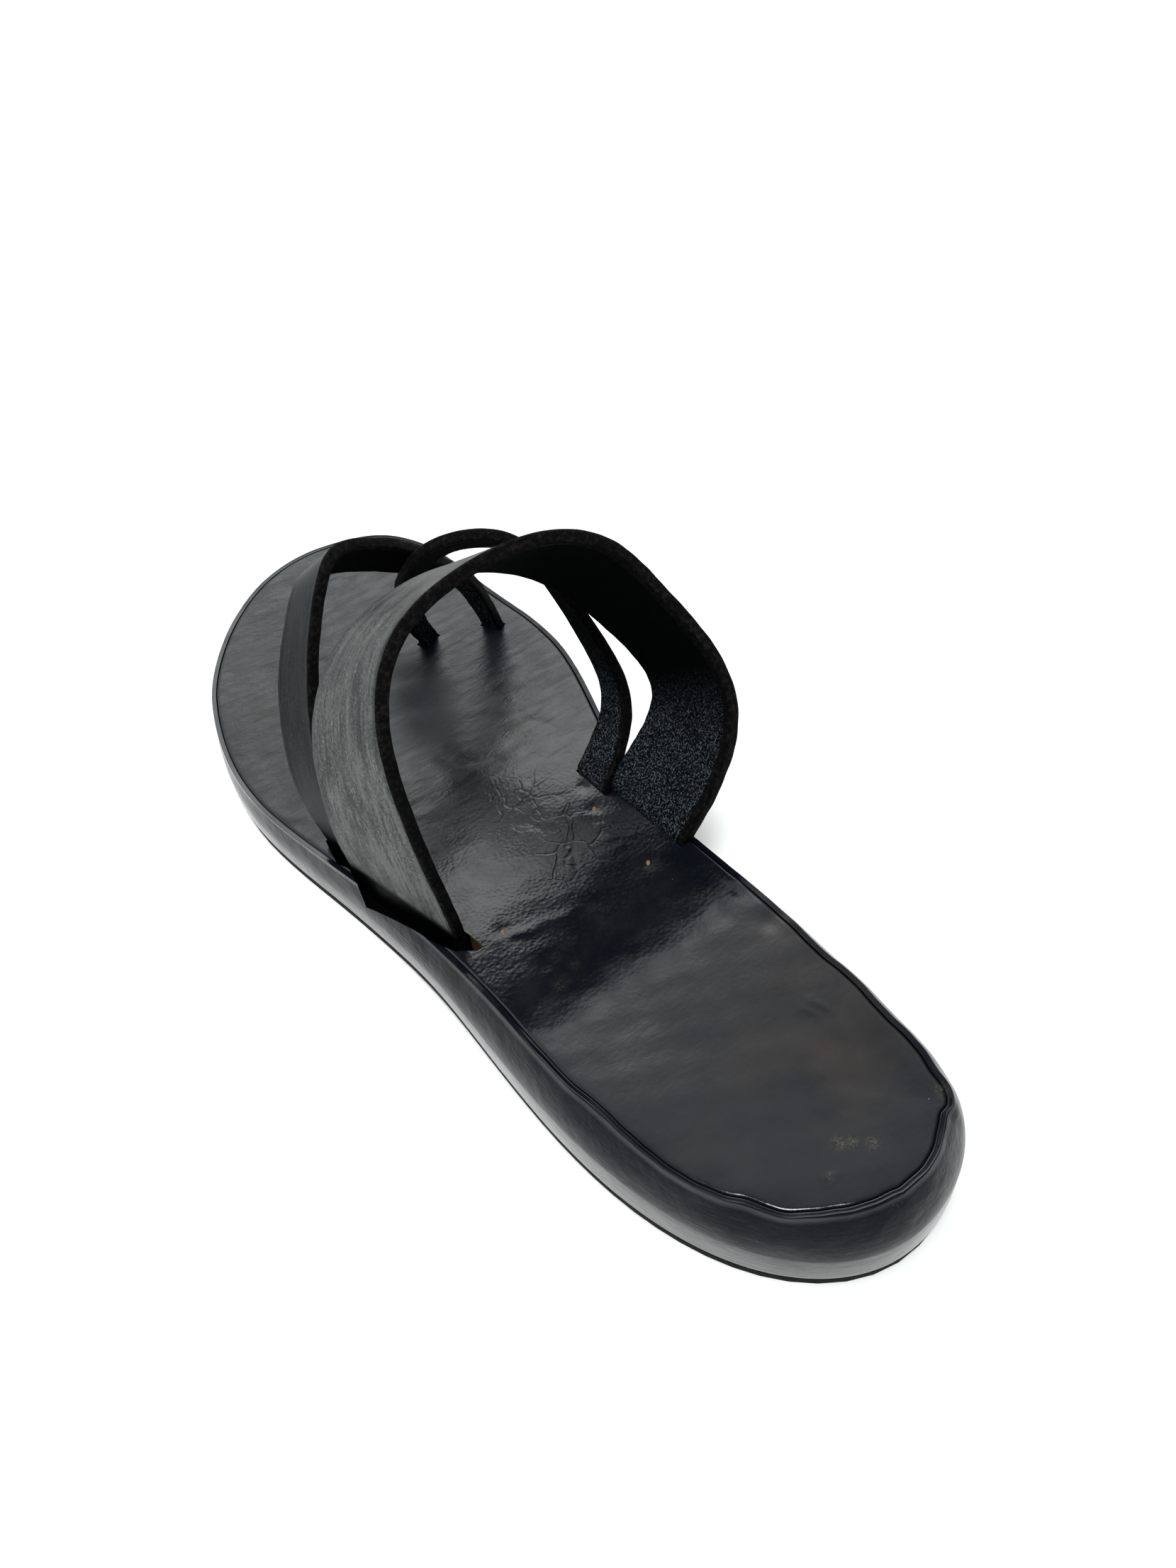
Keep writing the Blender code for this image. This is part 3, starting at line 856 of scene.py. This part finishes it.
def slot_tools():
    """A cutter for each row of the slots."""
    tools = []
    for name, end, spare, run_on in SLOT_ROWS:
        mouth = STATIONS[name][SEAT_STEPS if end == "first" else -1 - SEAT_STEPS]
        tools.append(slot_tool(name + "_" + end, mouth, spare, run_on))
    return tools


# Finishes

def leather_height(look, scale):
    """Pebbled grain of small cells over a finer noise."""
    return look.cells(scale) * 0.6 + look.noise(scale * 1.7, 3, 0.7) * 0.4


def specks(look, scale, size):
    """Rare small dots."""
    rare = look.noise(scale / 9, 2).between(0.6, 0.62)
    return (1 - look.cells(scale).between(size * 0.6, size)) * rare


def scuffed(look):
    """The painted scuffs, broken up into grains."""
    return look.attribute("scuff") * look.noise(1500, 3, 0.7).between(0.42, 0.66)


def wrap_finish():
    """Waxed leather: dark and dull on the shoulder, streaked and polished lower down, with a painted
    reflection of the floor as pale grey streaks low on the side.
    """
    look = Finish("waxed wrap leather", 0.3, 0.07)
    look.shader.inputs["Coat Roughness"].default_value = 0.14
    height = look.part("Z")
    level = look.attribute("level")
    shoulder = level.between(0.12, 0.80) * (1 - level.between(0.93, 0.99))
    far_side = look.part("X").between(0.010, 0.034)
    streaks = look.noise(1.0, 4, 0.65, look.stretched((45, 45, 1500)))
    patches = look.noise(55, 4, 0.6)
    scuff = scuffed(look)
    black = look.mix(patches.between(0.35, 0.7), *WRAP_BLACKS)
    colour = look.mix(look.attribute("wear") * patches.between(0.4, 0.6), black, WRAP_WORN)
    # Painted reflection of the bright floor: pale grey streaks low on the side wall, gone above 15 mm
    painted_floor_reflection = (1 - height.between(0.002, 0.015)) * (streaks * 0.6 + patches * 0.4).between(0.36, 0.60)
    colour = look.mix(painted_floor_reflection * 0.7, colour, WRAP_FLOOR_REFLECTION)
    colour = look.mix(scuff, colour, WRAP_SCUFF)
    pits = specks(look, 420, 0.10)
    low = look.bump(look.noise(130, 3, 0.5), 0.7 * MM, 0.8)
    fine = look.bump(leather_height(look, 1500), 0.05 * MM, 0.6, low)
    ridged = look.bump(streaks, 0.12 * MM, (1 - height.between(0.008, 0.022)) * 0.6 + 0.4, fine)
    polish = (0.85 - shoulder * 0.84) * (1 - far_side * 0.7)
    polish = polish * (patches * 0.5 + streaks * 0.9 + 0.30)
    return look.feed(base_color=colour, roughness=patches * 0.12 + streaks * 0.12 + 0.11,
                     coat_weight=polish, normal=look.bump(1 - pits, 0.25 * MM, 0.8, ridged))


def footbed_finish():
    """Polished leather: pebbled behind the straps, cracked between them, folded in front."""
    look = Finish("polished footbed leather", 0.25)
    patches = look.noise(48, 5, 0.6)
    grain_place = look.noise(30, 2)
    x, y = look.part("X"), look.part("Y")
    grain = (1 - y.between(-0.01, 0.03)) * y.between(-0.075, -0.04)
    scuff = scuffed(look)
    wear = look.attribute("wear")
    black = look.mix(patches.between(0.35, 0.7), *BED_BLACKS)
    colour = look.mix(wear * patches.between(0.25, 0.6), black, BED_WORN)
    colour = look.mix(scuff, colour, BED_SCUFF)
    colour = look.mix(specks(look, 210, 0.035), colour, BED_SPECK)
    front = y.between(-0.03, 0.05)
    soft = look.bump(look.noise(90, 3, 0.5), 0.5 * MM, front * 0.15 + 0.25)
    folds = look.noise(1.0, 5, 0.65, look.stretched((85, 300, 85)), 0.8)
    creased = look.bump(folds, 0.4 * MM, front * 0.70 + 0.10, soft)
    web = look.cells(150, "DISTANCE_TO_EDGE", look.bent(120, 0.006)).between(0.0, 0.06)
    worked = y.between(-0.040, -0.025) * (1 - y.between(0.000, 0.012))
    worked = worked * x.between(-0.012, -0.002) * (1 - x.between(0.012, 0.020))
    worked = worked * look.noise(60, 3, 0.6).between(0.38, 0.52)
    cracked = look.bump(web, 0.10 * MM, worked * 0.65, creased)
    pebble = look.bump(leather_height(look, 950), 0.10 * MM, grain * 0.55 + grain_place * 0.25, cracked)
    smudge = look.noise(170, 4, 0.65).between(0.4, 0.65)
    roughness = patches * 0.10 + smudge * 0.06 + front * 0.13 + wear * 0.12
    roughness = roughness + look.attribute("matt") * 0.5 + 0.09
    return look.feed(base_color=colour, normal=pebble, roughness=roughness)


def skin_finish():
    """Outer face of the straps: black skin with a pale, streaky bloom, and painted shade where the skin
    goes down into its slot.
    """
    look = Finish("strap outer skin", 0.6, 0.08)
    bloom = look.attribute("bloom")
    # Painted shade: where the bloom is nil, at the root in the slot, the skin goes darker than its own
    # black
    bare_and_root_shade = look.mix(bloom.between(0.0, 0.08), *SKIN_ROOT_SHADE_AND_BLACK)
    cloudy = look.noise(1.0, 4, 0.6, look.stretched((50, 150, 1), look.strap))
    streaks = look.noise(1.0, 4, 0.75, look.stretched((110, 1100, 1), look.strap), 0.5)
    grains = look.noise(1500, 3, 0.8)
    rubbed = (cloudy * 0.32 + streaks * 0.30 + grains * 0.38).between(0.43, 0.58) * bloom
    flaked = (grains * 0.6 + streaks * 0.4).between(0.58, 0.68) * bloom
    colour = look.mix(rubbed, bare_and_root_shade, SKIN_BLOOM)
    colour = look.mix(flaked, colour, SKIN_FLAKE)
    fine = look.bump(grains, 0.12 * MM, 0.6)
    return look.feed(base_color=colour, roughness=rubbed * 0.25 + 0.45,
                     normal=look.bump(streaks, 0.12 * MM, 0.5, fine))


def suede_finish():
    """Inner face of the straps: black suede, with painted light as pale speckled nap low near the
    big-toe side's root, where that face is lit.
    """
    look = Finish("strap suede inside", 0.95, 0.04)
    fibres = look.noise(2100, 3, 0.75).between(0.50, 0.64)
    black = look.mix(look.noise(200, 3, 0.6), *SUEDE_BLACKS)
    # Painted light: pale speckles on the lower inner face where it is lit; the crest stays black
    colour = look.mix(look.attribute("nap_and_painted_light") * fibres, black, SUEDE_NAP_LIGHT)
    grain = look.bump(look.noise(2200, 3, 0.75), 0.35 * MM, 0.7)
    return look.feed(base_color=colour, normal=grain)


def cut_finish():
    """Cut edges of the straps: fuzzy, black with a little brown."""
    look = Finish("strap cut edge", 0.8, 0.06)
    colour = look.mix(look.noise(900, 4, 0.7).between(0.45, 0.72), *CUT_BLACKS)
    grain = look.bump(look.noise(1900, 3, 0.75), 0.4 * MM, 0.8)
    return look.feed(base_color=colour, normal=grain)


def plain_finish(name, colour, roughness, gloss=0.5):
    """A simple mottled finish for what is small or hardly seen."""
    look = Finish(name, roughness, gloss)
    spread = look.noise(300, 3, 0.6)
    darker = tuple(part * 0.5 for part in colour)
    return look.feed(base_color=look.mix(spread, darker, colour),
                     normal=look.bump(spread, 0.1 * MM, 0.4))


RAW_FINISH = plain_finish("raw cut leather", RAW_TAN, 0.8, 0.2)
VOID_FINISH = plain_finish("slot shade", SLOT_BLACK, 0.9, 0.03)
TACK_FINISH = plain_finish("tack metal", TACK_BROWN, 0.35)


# Pieces

def on_bed(flat, drop):
    """A ring on the bed's top surface, lowered by drop."""
    return raised(flat, bed_height(flat[:, 1]) + relief(flat[:, 0], flat[:, 1]) - drop)


def quarter(steps):
    """Angles of a quarter turn after its start, in even steps."""
    return [math.pi / 2 * step / steps for step in range(1, steps + 1)]


def make_wrap(material):
    """The platform in its black leather, with its side, rolled edge and bed."""
    y = OUTLINE[:, 1]
    floor = floor_lift(y) + OUTSOLE_THICKNESS + GAP
    low = inset(OUTLINE, BOTTOM_ROUND)
    rings = []
    for share in np.linspace(INNER_SHARE, 1.0, UNDER_RINGS):
        flat = shrink(low, share)
        rings.append(raised(flat, floor_lift(flat[:, 1]) + OUTSOLE_THICKNESS + GAP))
    for turn in quarter(BOTTOM_STEPS):
        flat = inset(OUTLINE, BOTTOM_ROUND * (1 - math.sin(turn)))
        rings.append(raised(flat, floor + BOTTOM_ROUND * (1 - math.cos(turn))))
    crest_inset = EDGE_WIDTHS - CREST_WIDTH
    crest = inset(OUTLINE, crest_inset)
    top = bed_height(y) + relief(crest[:, 0], crest[:, 1])
    roll_drop = np.minimum(EDGE_ROUND_DROP, 0.6 * (top - floor))
    shoulder = top - roll_drop
    for share in np.linspace(0, 1, WALL_STEPS + 1)[1:]:
        rings.append(raised(OUTLINE, (floor + BOTTOM_ROUND) * (1 - share) + shoulder * share))
    for turn in quarter(ROLL_STEPS):
        flat = inset(OUTLINE, crest_inset * (1 - math.cos(turn)**SHOULDER_SLOPE))
        rings.append(raised(flat, top - roll_drop * (1 - math.sin(turn)**SHOULDER_SLOPE)))
    for share in np.linspace(0, 1, CREST_STEPS + 1)[1:]:
        flat = inset(OUTLINE, crest_inset + (CREST_WIDTH - 0.1 * MM) * share)
        rings.append(raised(flat, top - RIDGE_HEIGHTS * (1 - math.cos(math.pi * share)) / 2))
    edge = inset(OUTLINE, EDGE_WIDTHS - 0.05 * MM)
    rings.append(raised(edge, top - FOOTBED_THICKNESS - GAP))
    for share in np.linspace(1.0, INNER_SHARE, 14)[1:]:
        flat = shrink(edge, share)
        rings.append(on_bed(flat, FOOTBED_THICKNESS + GAP + BED_DISH * (1 - share**2)))
    wrap = stacked_rings("sole_wrap", rings, material)
    cut(wrap, slot_tools())
    paint(wrap, "scuff", SCUFF_ROWS)
    paint(wrap, "wear", WEAR_ROWS)
    places = vertex_places(wrap.data)
    write_values(wrap.data, "level", places[:, 2] / bed_height(places[:, 1] + FRAME_Y))
    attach(wrap, "root")
    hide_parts("midsole")


def make_footbed(material):
    """The inlaid leather panel, dished and rounded at its edge."""
    edge = inset(OUTLINE, EDGE_WIDTHS + 0.12 * MM)
    ridge = RIDGE_HEIGHTS * 0.55
    rings = []
    for share in np.linspace(INNER_SHARE, 1.0, 10):
        flat = shrink(edge, share)
        rings.append(on_bed(flat, FOOTBED_THICKNESS + BED_DISH * (1 - share**2)))
    for turn in [0.0] + quarter(6):
        flat = inset(edge, PANEL_ROUND * (1 - math.cos(turn)))
        rings.append(on_bed(flat, ridge + 0.35 * MM * (1 - math.sin(turn))))
    inner = inset(edge, PANEL_ROUND)
    for share in np.linspace(1.0, 0.03, BED_RINGS)[1:]:
        rings.append(on_bed(shrink(inner, share), BED_DISH * (1 - share**2) + ridge * share**8))
    panel = stacked_rings("footbed_panel", rings, material)
    cut(panel, slot_tools())
    paint(panel, "scuff", SCUFF_ROWS)
    paint(panel, "wear", WEAR_ROWS)
    paint(panel, "matt", MATT_ROWS)
    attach(panel, "root")
    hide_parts("footbed")


def scatter_group(material):
    """Geometry nodes: one squashed bead on every point, turned and sized from a seed."""
    group = bpy.data.node_groups.new("scatter_beads", "GeometryNodeTree")
    face = group.interface
    face.new_socket("Geometry", in_out="OUTPUT", socket_type="NodeSocketGeometry")
    for label, kind in (("Points", "Geometry"), ("Radius", "Float"), ("Smallest", "Float"),
                        ("Seed", "Int")):
        face.new_socket(label, in_out="INPUT", socket_type="NodeSocket" + kind)
    nodes = group.nodes
    given = nodes.new("NodeGroupInput")
    result = nodes.new("NodeGroupOutput")
    bead = nodes.new("GeometryNodeMeshUVSphere")
    bead.inputs["Segments"].default_value = 20
    bead.inputs["Rings"].default_value = 12
    flatten = nodes.new("GeometryNodeTransform")
    flatten.inputs["Scale"].default_value = (1.25, 0.8, 0.45)
    spread = nodes.new("GeometryNodeInstanceOnPoints")
    size = nodes.new("FunctionNodeRandomValue")
    size.data_type = "FLOAT"
    size.inputs[3].default_value = 1.0
    turn = nodes.new("FunctionNodeRandomValue")
    turn.data_type = "FLOAT_VECTOR"
    turn.inputs[0].default_value = (-0.25, -0.25, 0)
    turn.inputs[1].default_value = (0.25, 0.25, 6.28)
    real = nodes.new("GeometryNodeRealizeInstances")
    smooth = nodes.new("GeometryNodeSetShadeSmooth")
    finish = nodes.new("GeometryNodeSetMaterial")
    finish.inputs["Material"].default_value = material
    for source, output, target, entry in (
            (given, "Radius", bead, "Radius"),
            (bead, "Mesh", flatten, "Geometry"),
            (given, "Points", spread, "Points"),
            (flatten, "Geometry", spread, "Instance"),
            (given, "Smallest", size, 2),
            (given, "Seed", size, "Seed"),
            (given, "Seed", turn, "Seed"),
            (size, 1, spread, "Scale"),
            (turn, 0, spread, "Rotation"),
            (spread, "Instances", real, "Geometry"),
            (real, "Geometry", smooth, "Geometry"),
            (smooth, "Geometry", finish, "Geometry"),
            (finish, "Geometry", result, "Geometry")):
        group.links.new(source.outputs[output], target.inputs[entry])
    return group


def scatter(name, places, material, radius, smallest, seed):
    """Beads at the places, made by geometry nodes and kept as a plain mesh."""
    mesh = bpy.data.meshes.new(name)
    mesh.from_pydata([tuple(place) for place in places], [], [])
    obj = placed(name, mesh)
    group = scatter_group(material)
    modifier = obj.modifiers.new("beads", "NODES")
    modifier.node_group = group
    values = {"Radius": radius, "Smallest": smallest, "Seed": seed}
    for item in group.interface.items_tree:
        if item.name in values:
            modifier[item.identifier] = values[item.name]
    bpy.context.view_layer.update()
    return settle(obj)


def make_tacks():
    """Small tack heads beside the slots."""
    places = []
    for x, y, proud in TACK_ROWS:
        bed_x, bed_y = x * MM + FRAME_X, y * MM + FRAME_Y
        height = float(bed_height(bed_y) + relief(np.array([bed_x]), np.array([bed_y]))[0])
        places.append((x * MM, y * MM, height - 0.75 * BED_DISH + proud * MM))
    tacks = scatter("tack_heads", places, TACK_FINISH, TACK_RADIUS, 0.85, 4)
    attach(tacks, "root")


SKIN, CUT, SUEDE = 0, 1, 2


def strap_section(width):
    """Points round a strap: across, outwards, and the finish of the face after each."""
    a, b, r = width / 2, LEATHER / 2, EDGE_SOFTNESS
    points = []
    for share in np.linspace(1, -1, 17):
        near = max(0.0, abs(share) * (a - r) - (a - r - LIP_REACH)) / LIP_REACH
        points.append((share * (a - r), b + LIP_HEIGHT * (near**2 - 0.5 * near), SKIN))
    corners = [(-1, 1), (-1, -1), (1, -1), (1, 1)]
    for number, (side, level) in enumerate(corners):
        for turn in quarter(4):
            out, up = math.sin(turn), math.cos(turn)
            if number % 2:
                out, up = up, out
            points.append((side * (a - r + r * out), level * (b - r + r * up), CUT))
        if number % 2 == 0:
            points += [(side * a, -level * share * (b - r), CUT) for share in (-0.4, 0.4, 1.0)]
        elif number == 1:
            points += [(share * (a - r), -b, SUEDE) for share in np.linspace(-1, 1, 17)[1:]]
    return points[:-1]


def edge_wobble(length, side):
    """Unevenness of a knife-cut edge, in metres."""
    t = length / MM
    wave = 0.16 * np.sin(t / 5.1 + 2.0 * side) + 0.08 * np.sin(t / 1.7 + 0.8 * side)
    return (wave + 0.06 * np.sin(t / 0.8 + side)) * MM


def strap_faces(section, stations):
    """Faces along a strap and over its two ends, and the finish of each."""
    count = len(section)
    last = count * (stations - 1)
    ends = [tuple(range(count)), tuple(range(last, last + count))]
    kinds = [row[2] for row in section]
    around = [a if a == b else CUT for a, b in zip(kinds, kinds[1:] + kinds[:1])]
    return tube_faces(stations, count) + ends, around * (stations - 1) + [CUT, CUT]


def make_strap(name, stations, bloom, materials):
    """One strap: bloomed outside above its root, with painted shade on the skin at the root in its
    slot, and painted light on the pale nap inside, low on the big-toe side.
    """
    middles, widths, normals = strap_frames(stations)
    steps = np.linalg.norm(np.diff(middles, axis=0), axis=1)
    lengths = np.concatenate([[0], np.cumsum(steps)])
    heights = (middles[:, 2] - bed_height(middles[:, 1])) / MM
    # No bloom below 3.2 mm above the bed, so the skin there takes painted shade for the slot's shadow
    bloom_above_root_shade = bloom * ramp(heights, 3.2, 5.2) * (1 - 0.45 * ramp(heights, 30, 60))
    # Painted light on the suede nap, from 34 mm down to 18 mm above the bed, on the big-toe side only
    nap_light_share = ramp(heights, 34, 18) * ramp(middles[:, 0], 0, 8 * MM)
    verts, uvs, blooms_above_root_shade, nap_light_shares = [], [], [], []
    for i, (middle, width, length) in enumerate(zip(middles, stations[:, 5], lengths)):
        for s, t, _ in strap_section(width):
            side = math.copysign(1, s)
            s += side * edge_wobble(length, side) * abs(2 * s / width)**3
            verts.append(middle + widths[i] * s + normals[i] * t - (FRAME_X, FRAME_Y, 0))
            uvs.append((length, s))
            blooms_above_root_shade.append(bloom_above_root_shade[i] * (1 - 0.65 * ramp(abs(2 * s / width), 0.86, 0.96)))
            nap_light_shares.append(nap_light_share[i])
    faces, finishes = strap_faces(strap_section(1.0), len(middles))
    strap = closed_mesh(name, verts, faces, materials, uvs, {"bloom": blooms_above_root_shade, "nap_and_painted_light": nap_light_shares})
    strap.data.polygons.foreach_set("material_index", finishes)
    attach(strap, "root")
    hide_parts("upper")


# Stage: floor, light and camera

CAMERA_AT = (-0.0858, -0.1896, 0.2497)
CAMERA_HEADING = 30.75
CAMERA_PITCH = 47.63
CAMERA_ROLL = -6.36
IMAGE_HEIGHT = 2212
FOCAL_PIXELS = 1670
SENSOR = 36.0


def make_camera():
    """The photograph's view: heading from +Y towards +X, pitch below the horizon, roll."""
    heading, pitch, roll = (math.radians(a) for a in (CAMERA_HEADING, CAMERA_PITCH, CAMERA_ROLL))
    forward = Vector((math.sin(heading) * math.cos(pitch), math.cos(heading) * math.cos(pitch),
                      -math.sin(pitch)))
    level = Vector((math.cos(heading), -math.sin(heading), 0))
    above = level.cross(forward)
    right = level * math.cos(roll) + above * math.sin(roll)
    up = above * math.cos(roll) - level * math.sin(roll)
    data = bpy.data.cameras.new("camera")
    data.sensor_width = SENSOR
    data.lens = FOCAL_PIXELS * SENSOR / IMAGE_HEIGHT
    data.clip_start = 0.01
    camera = placed("camera", data)
    turn = Matrix((right, up, -forward)).transposed().to_4x4()
    camera.matrix_world = Matrix.Translation(CAMERA_AT) @ turn
    bpy.context.scene.camera = camera


OVERHEAD_AT = (-0.2, 0.1, 1.5)
OVERHEAD_SIZE = (2.4, 2.4)
OVERHEAD_POWER = 29
FLOOR_HALF = 3.0

# Level of the room's light by the height of the direction: 0 at the horizon, 1 overhead
ROOM_LEVELS = [
    # height, level
    (0.00, 0.85),
    (0.60, 0.95),
    (0.75, 1.05),
    (0.87, 0.95),
    (0.94, 0.50),
    (1.00, 0.15),
]
ROOM_COLOUR = (0.965, 1.0, 0.995)

# Dimmer sides of the room, behind the camera and beside the big toe
DIM_SIDES = [
    # towards, lean_from, lean_to, level_from, level_to
    ((0.45, 0.89, 0.0), -0.35, 0.35, 0.12, 1.0),
    ((0.97, -0.25, 0.0), 0.35, 0.75, 1.0, 0.18),
]

# Window ahead and lamp overhead, which add to the room's level
LIT_SPOTS = [
    # towards, lean_from, lean_to, level
    ((0.37, 0.70, 0.61), 0.950, 0.995, 2.2),
    ((-0.07, -0.16, 0.985), 0.984, 0.995, 28.0),
]


def make_world():
    """A soft room, dimmer on some sides, with a window and a lamp for the reflections."""
    world = bpy.data.worlds.new("studio")
    bpy.context.scene.world = world
    world.use_nodes = True
    background = world.node_tree.nodes["Background"]
    background.inputs["Color"].default_value = (*ROOM_COLOUR, 1)
    room = Nodes(world.node_tree)
    towards = room.node("ShaderNodeTexCoord", output="Generated")

    def lean(direction):
        """How far the view leans to a direction: 1 straight at it, 0 square to it."""
        return room.node("ShaderNodeVectorMath", {"operation": "DOT_PRODUCT"},
                         {0: towards, 1: direction}, "Value")

    strength = room.node("ShaderNodeValToRGB", None, {0: lean((0, 0, 1))})
    elements = strength.socket.node.color_ramp.elements
    while len(elements) < len(ROOM_LEVELS):
        elements.new(0.5)
    for element, (position, level) in zip(elements, ROOM_LEVELS):
        element.position = position
        element.color = (level, level, level, 1)
    for direction, low, high, first, last in DIM_SIDES:
        strength = strength * lean(direction).between(low, high, first, last)
    for direction, low, high, level in LIT_SPOTS:
        strength = strength + lean(direction).between(low, high, 0.0, level)
    world.node_tree.links.new(strength.socket, background.inputs["Strength"])


def make_lamp():
    """A broad soft light overhead, not seen in reflections."""
    data = bpy.data.lights.new("overhead", "AREA")
    data.shape = "RECTANGLE"
    data.size, data.size_y = OVERHEAD_SIZE
    data.energy = OVERHEAD_POWER
    lamp = placed("overhead", data)
    lamp.location = OVERHEAD_AT
    lamp.rotation_euler = (-Vector(OVERHEAD_AT)).to_track_quat("-Z", "Y").to_euler()
    lamp.visible_glossy = False
    lamp.visible_camera = False


def make_floor():
    bm = bmesh.new()
    bmesh.ops.create_grid(bm, x_segments=1, y_segments=1, size=FLOOR_HALF)
    mesh = bpy.data.meshes.new("floor")
    bm.to_mesh(mesh)
    bm.free()
    floor = placed("floor", mesh)
    look = Finish("pale floor", 0.6)
    look.shader.inputs["Base Color"].default_value = (*FLOOR_PALE, 1)
    mesh.materials.append(look.material)


bpy.context.scene.view_settings.view_transform = "Standard"
make_camera()
make_world()
make_floor()
make_lamp()
make_wrap(wrap_finish())
make_footbed(footbed_finish())
make_tacks()
STRAP_FINISHES = [skin_finish(), cut_finish(), suede_finish()]
for strap_name, strap_places in STATIONS.items():
    make_strap(strap_name + "_strap", strap_places, BLOOMS[strap_name], STRAP_FINISHES)
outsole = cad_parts["outsole"]
outsole.data.materials.clear()
outsole.data.materials.append(plain_finish("outsole leather", OUTSOLE_BLACK, 0.8, 0.12))

bpy.context.view_layer.update()
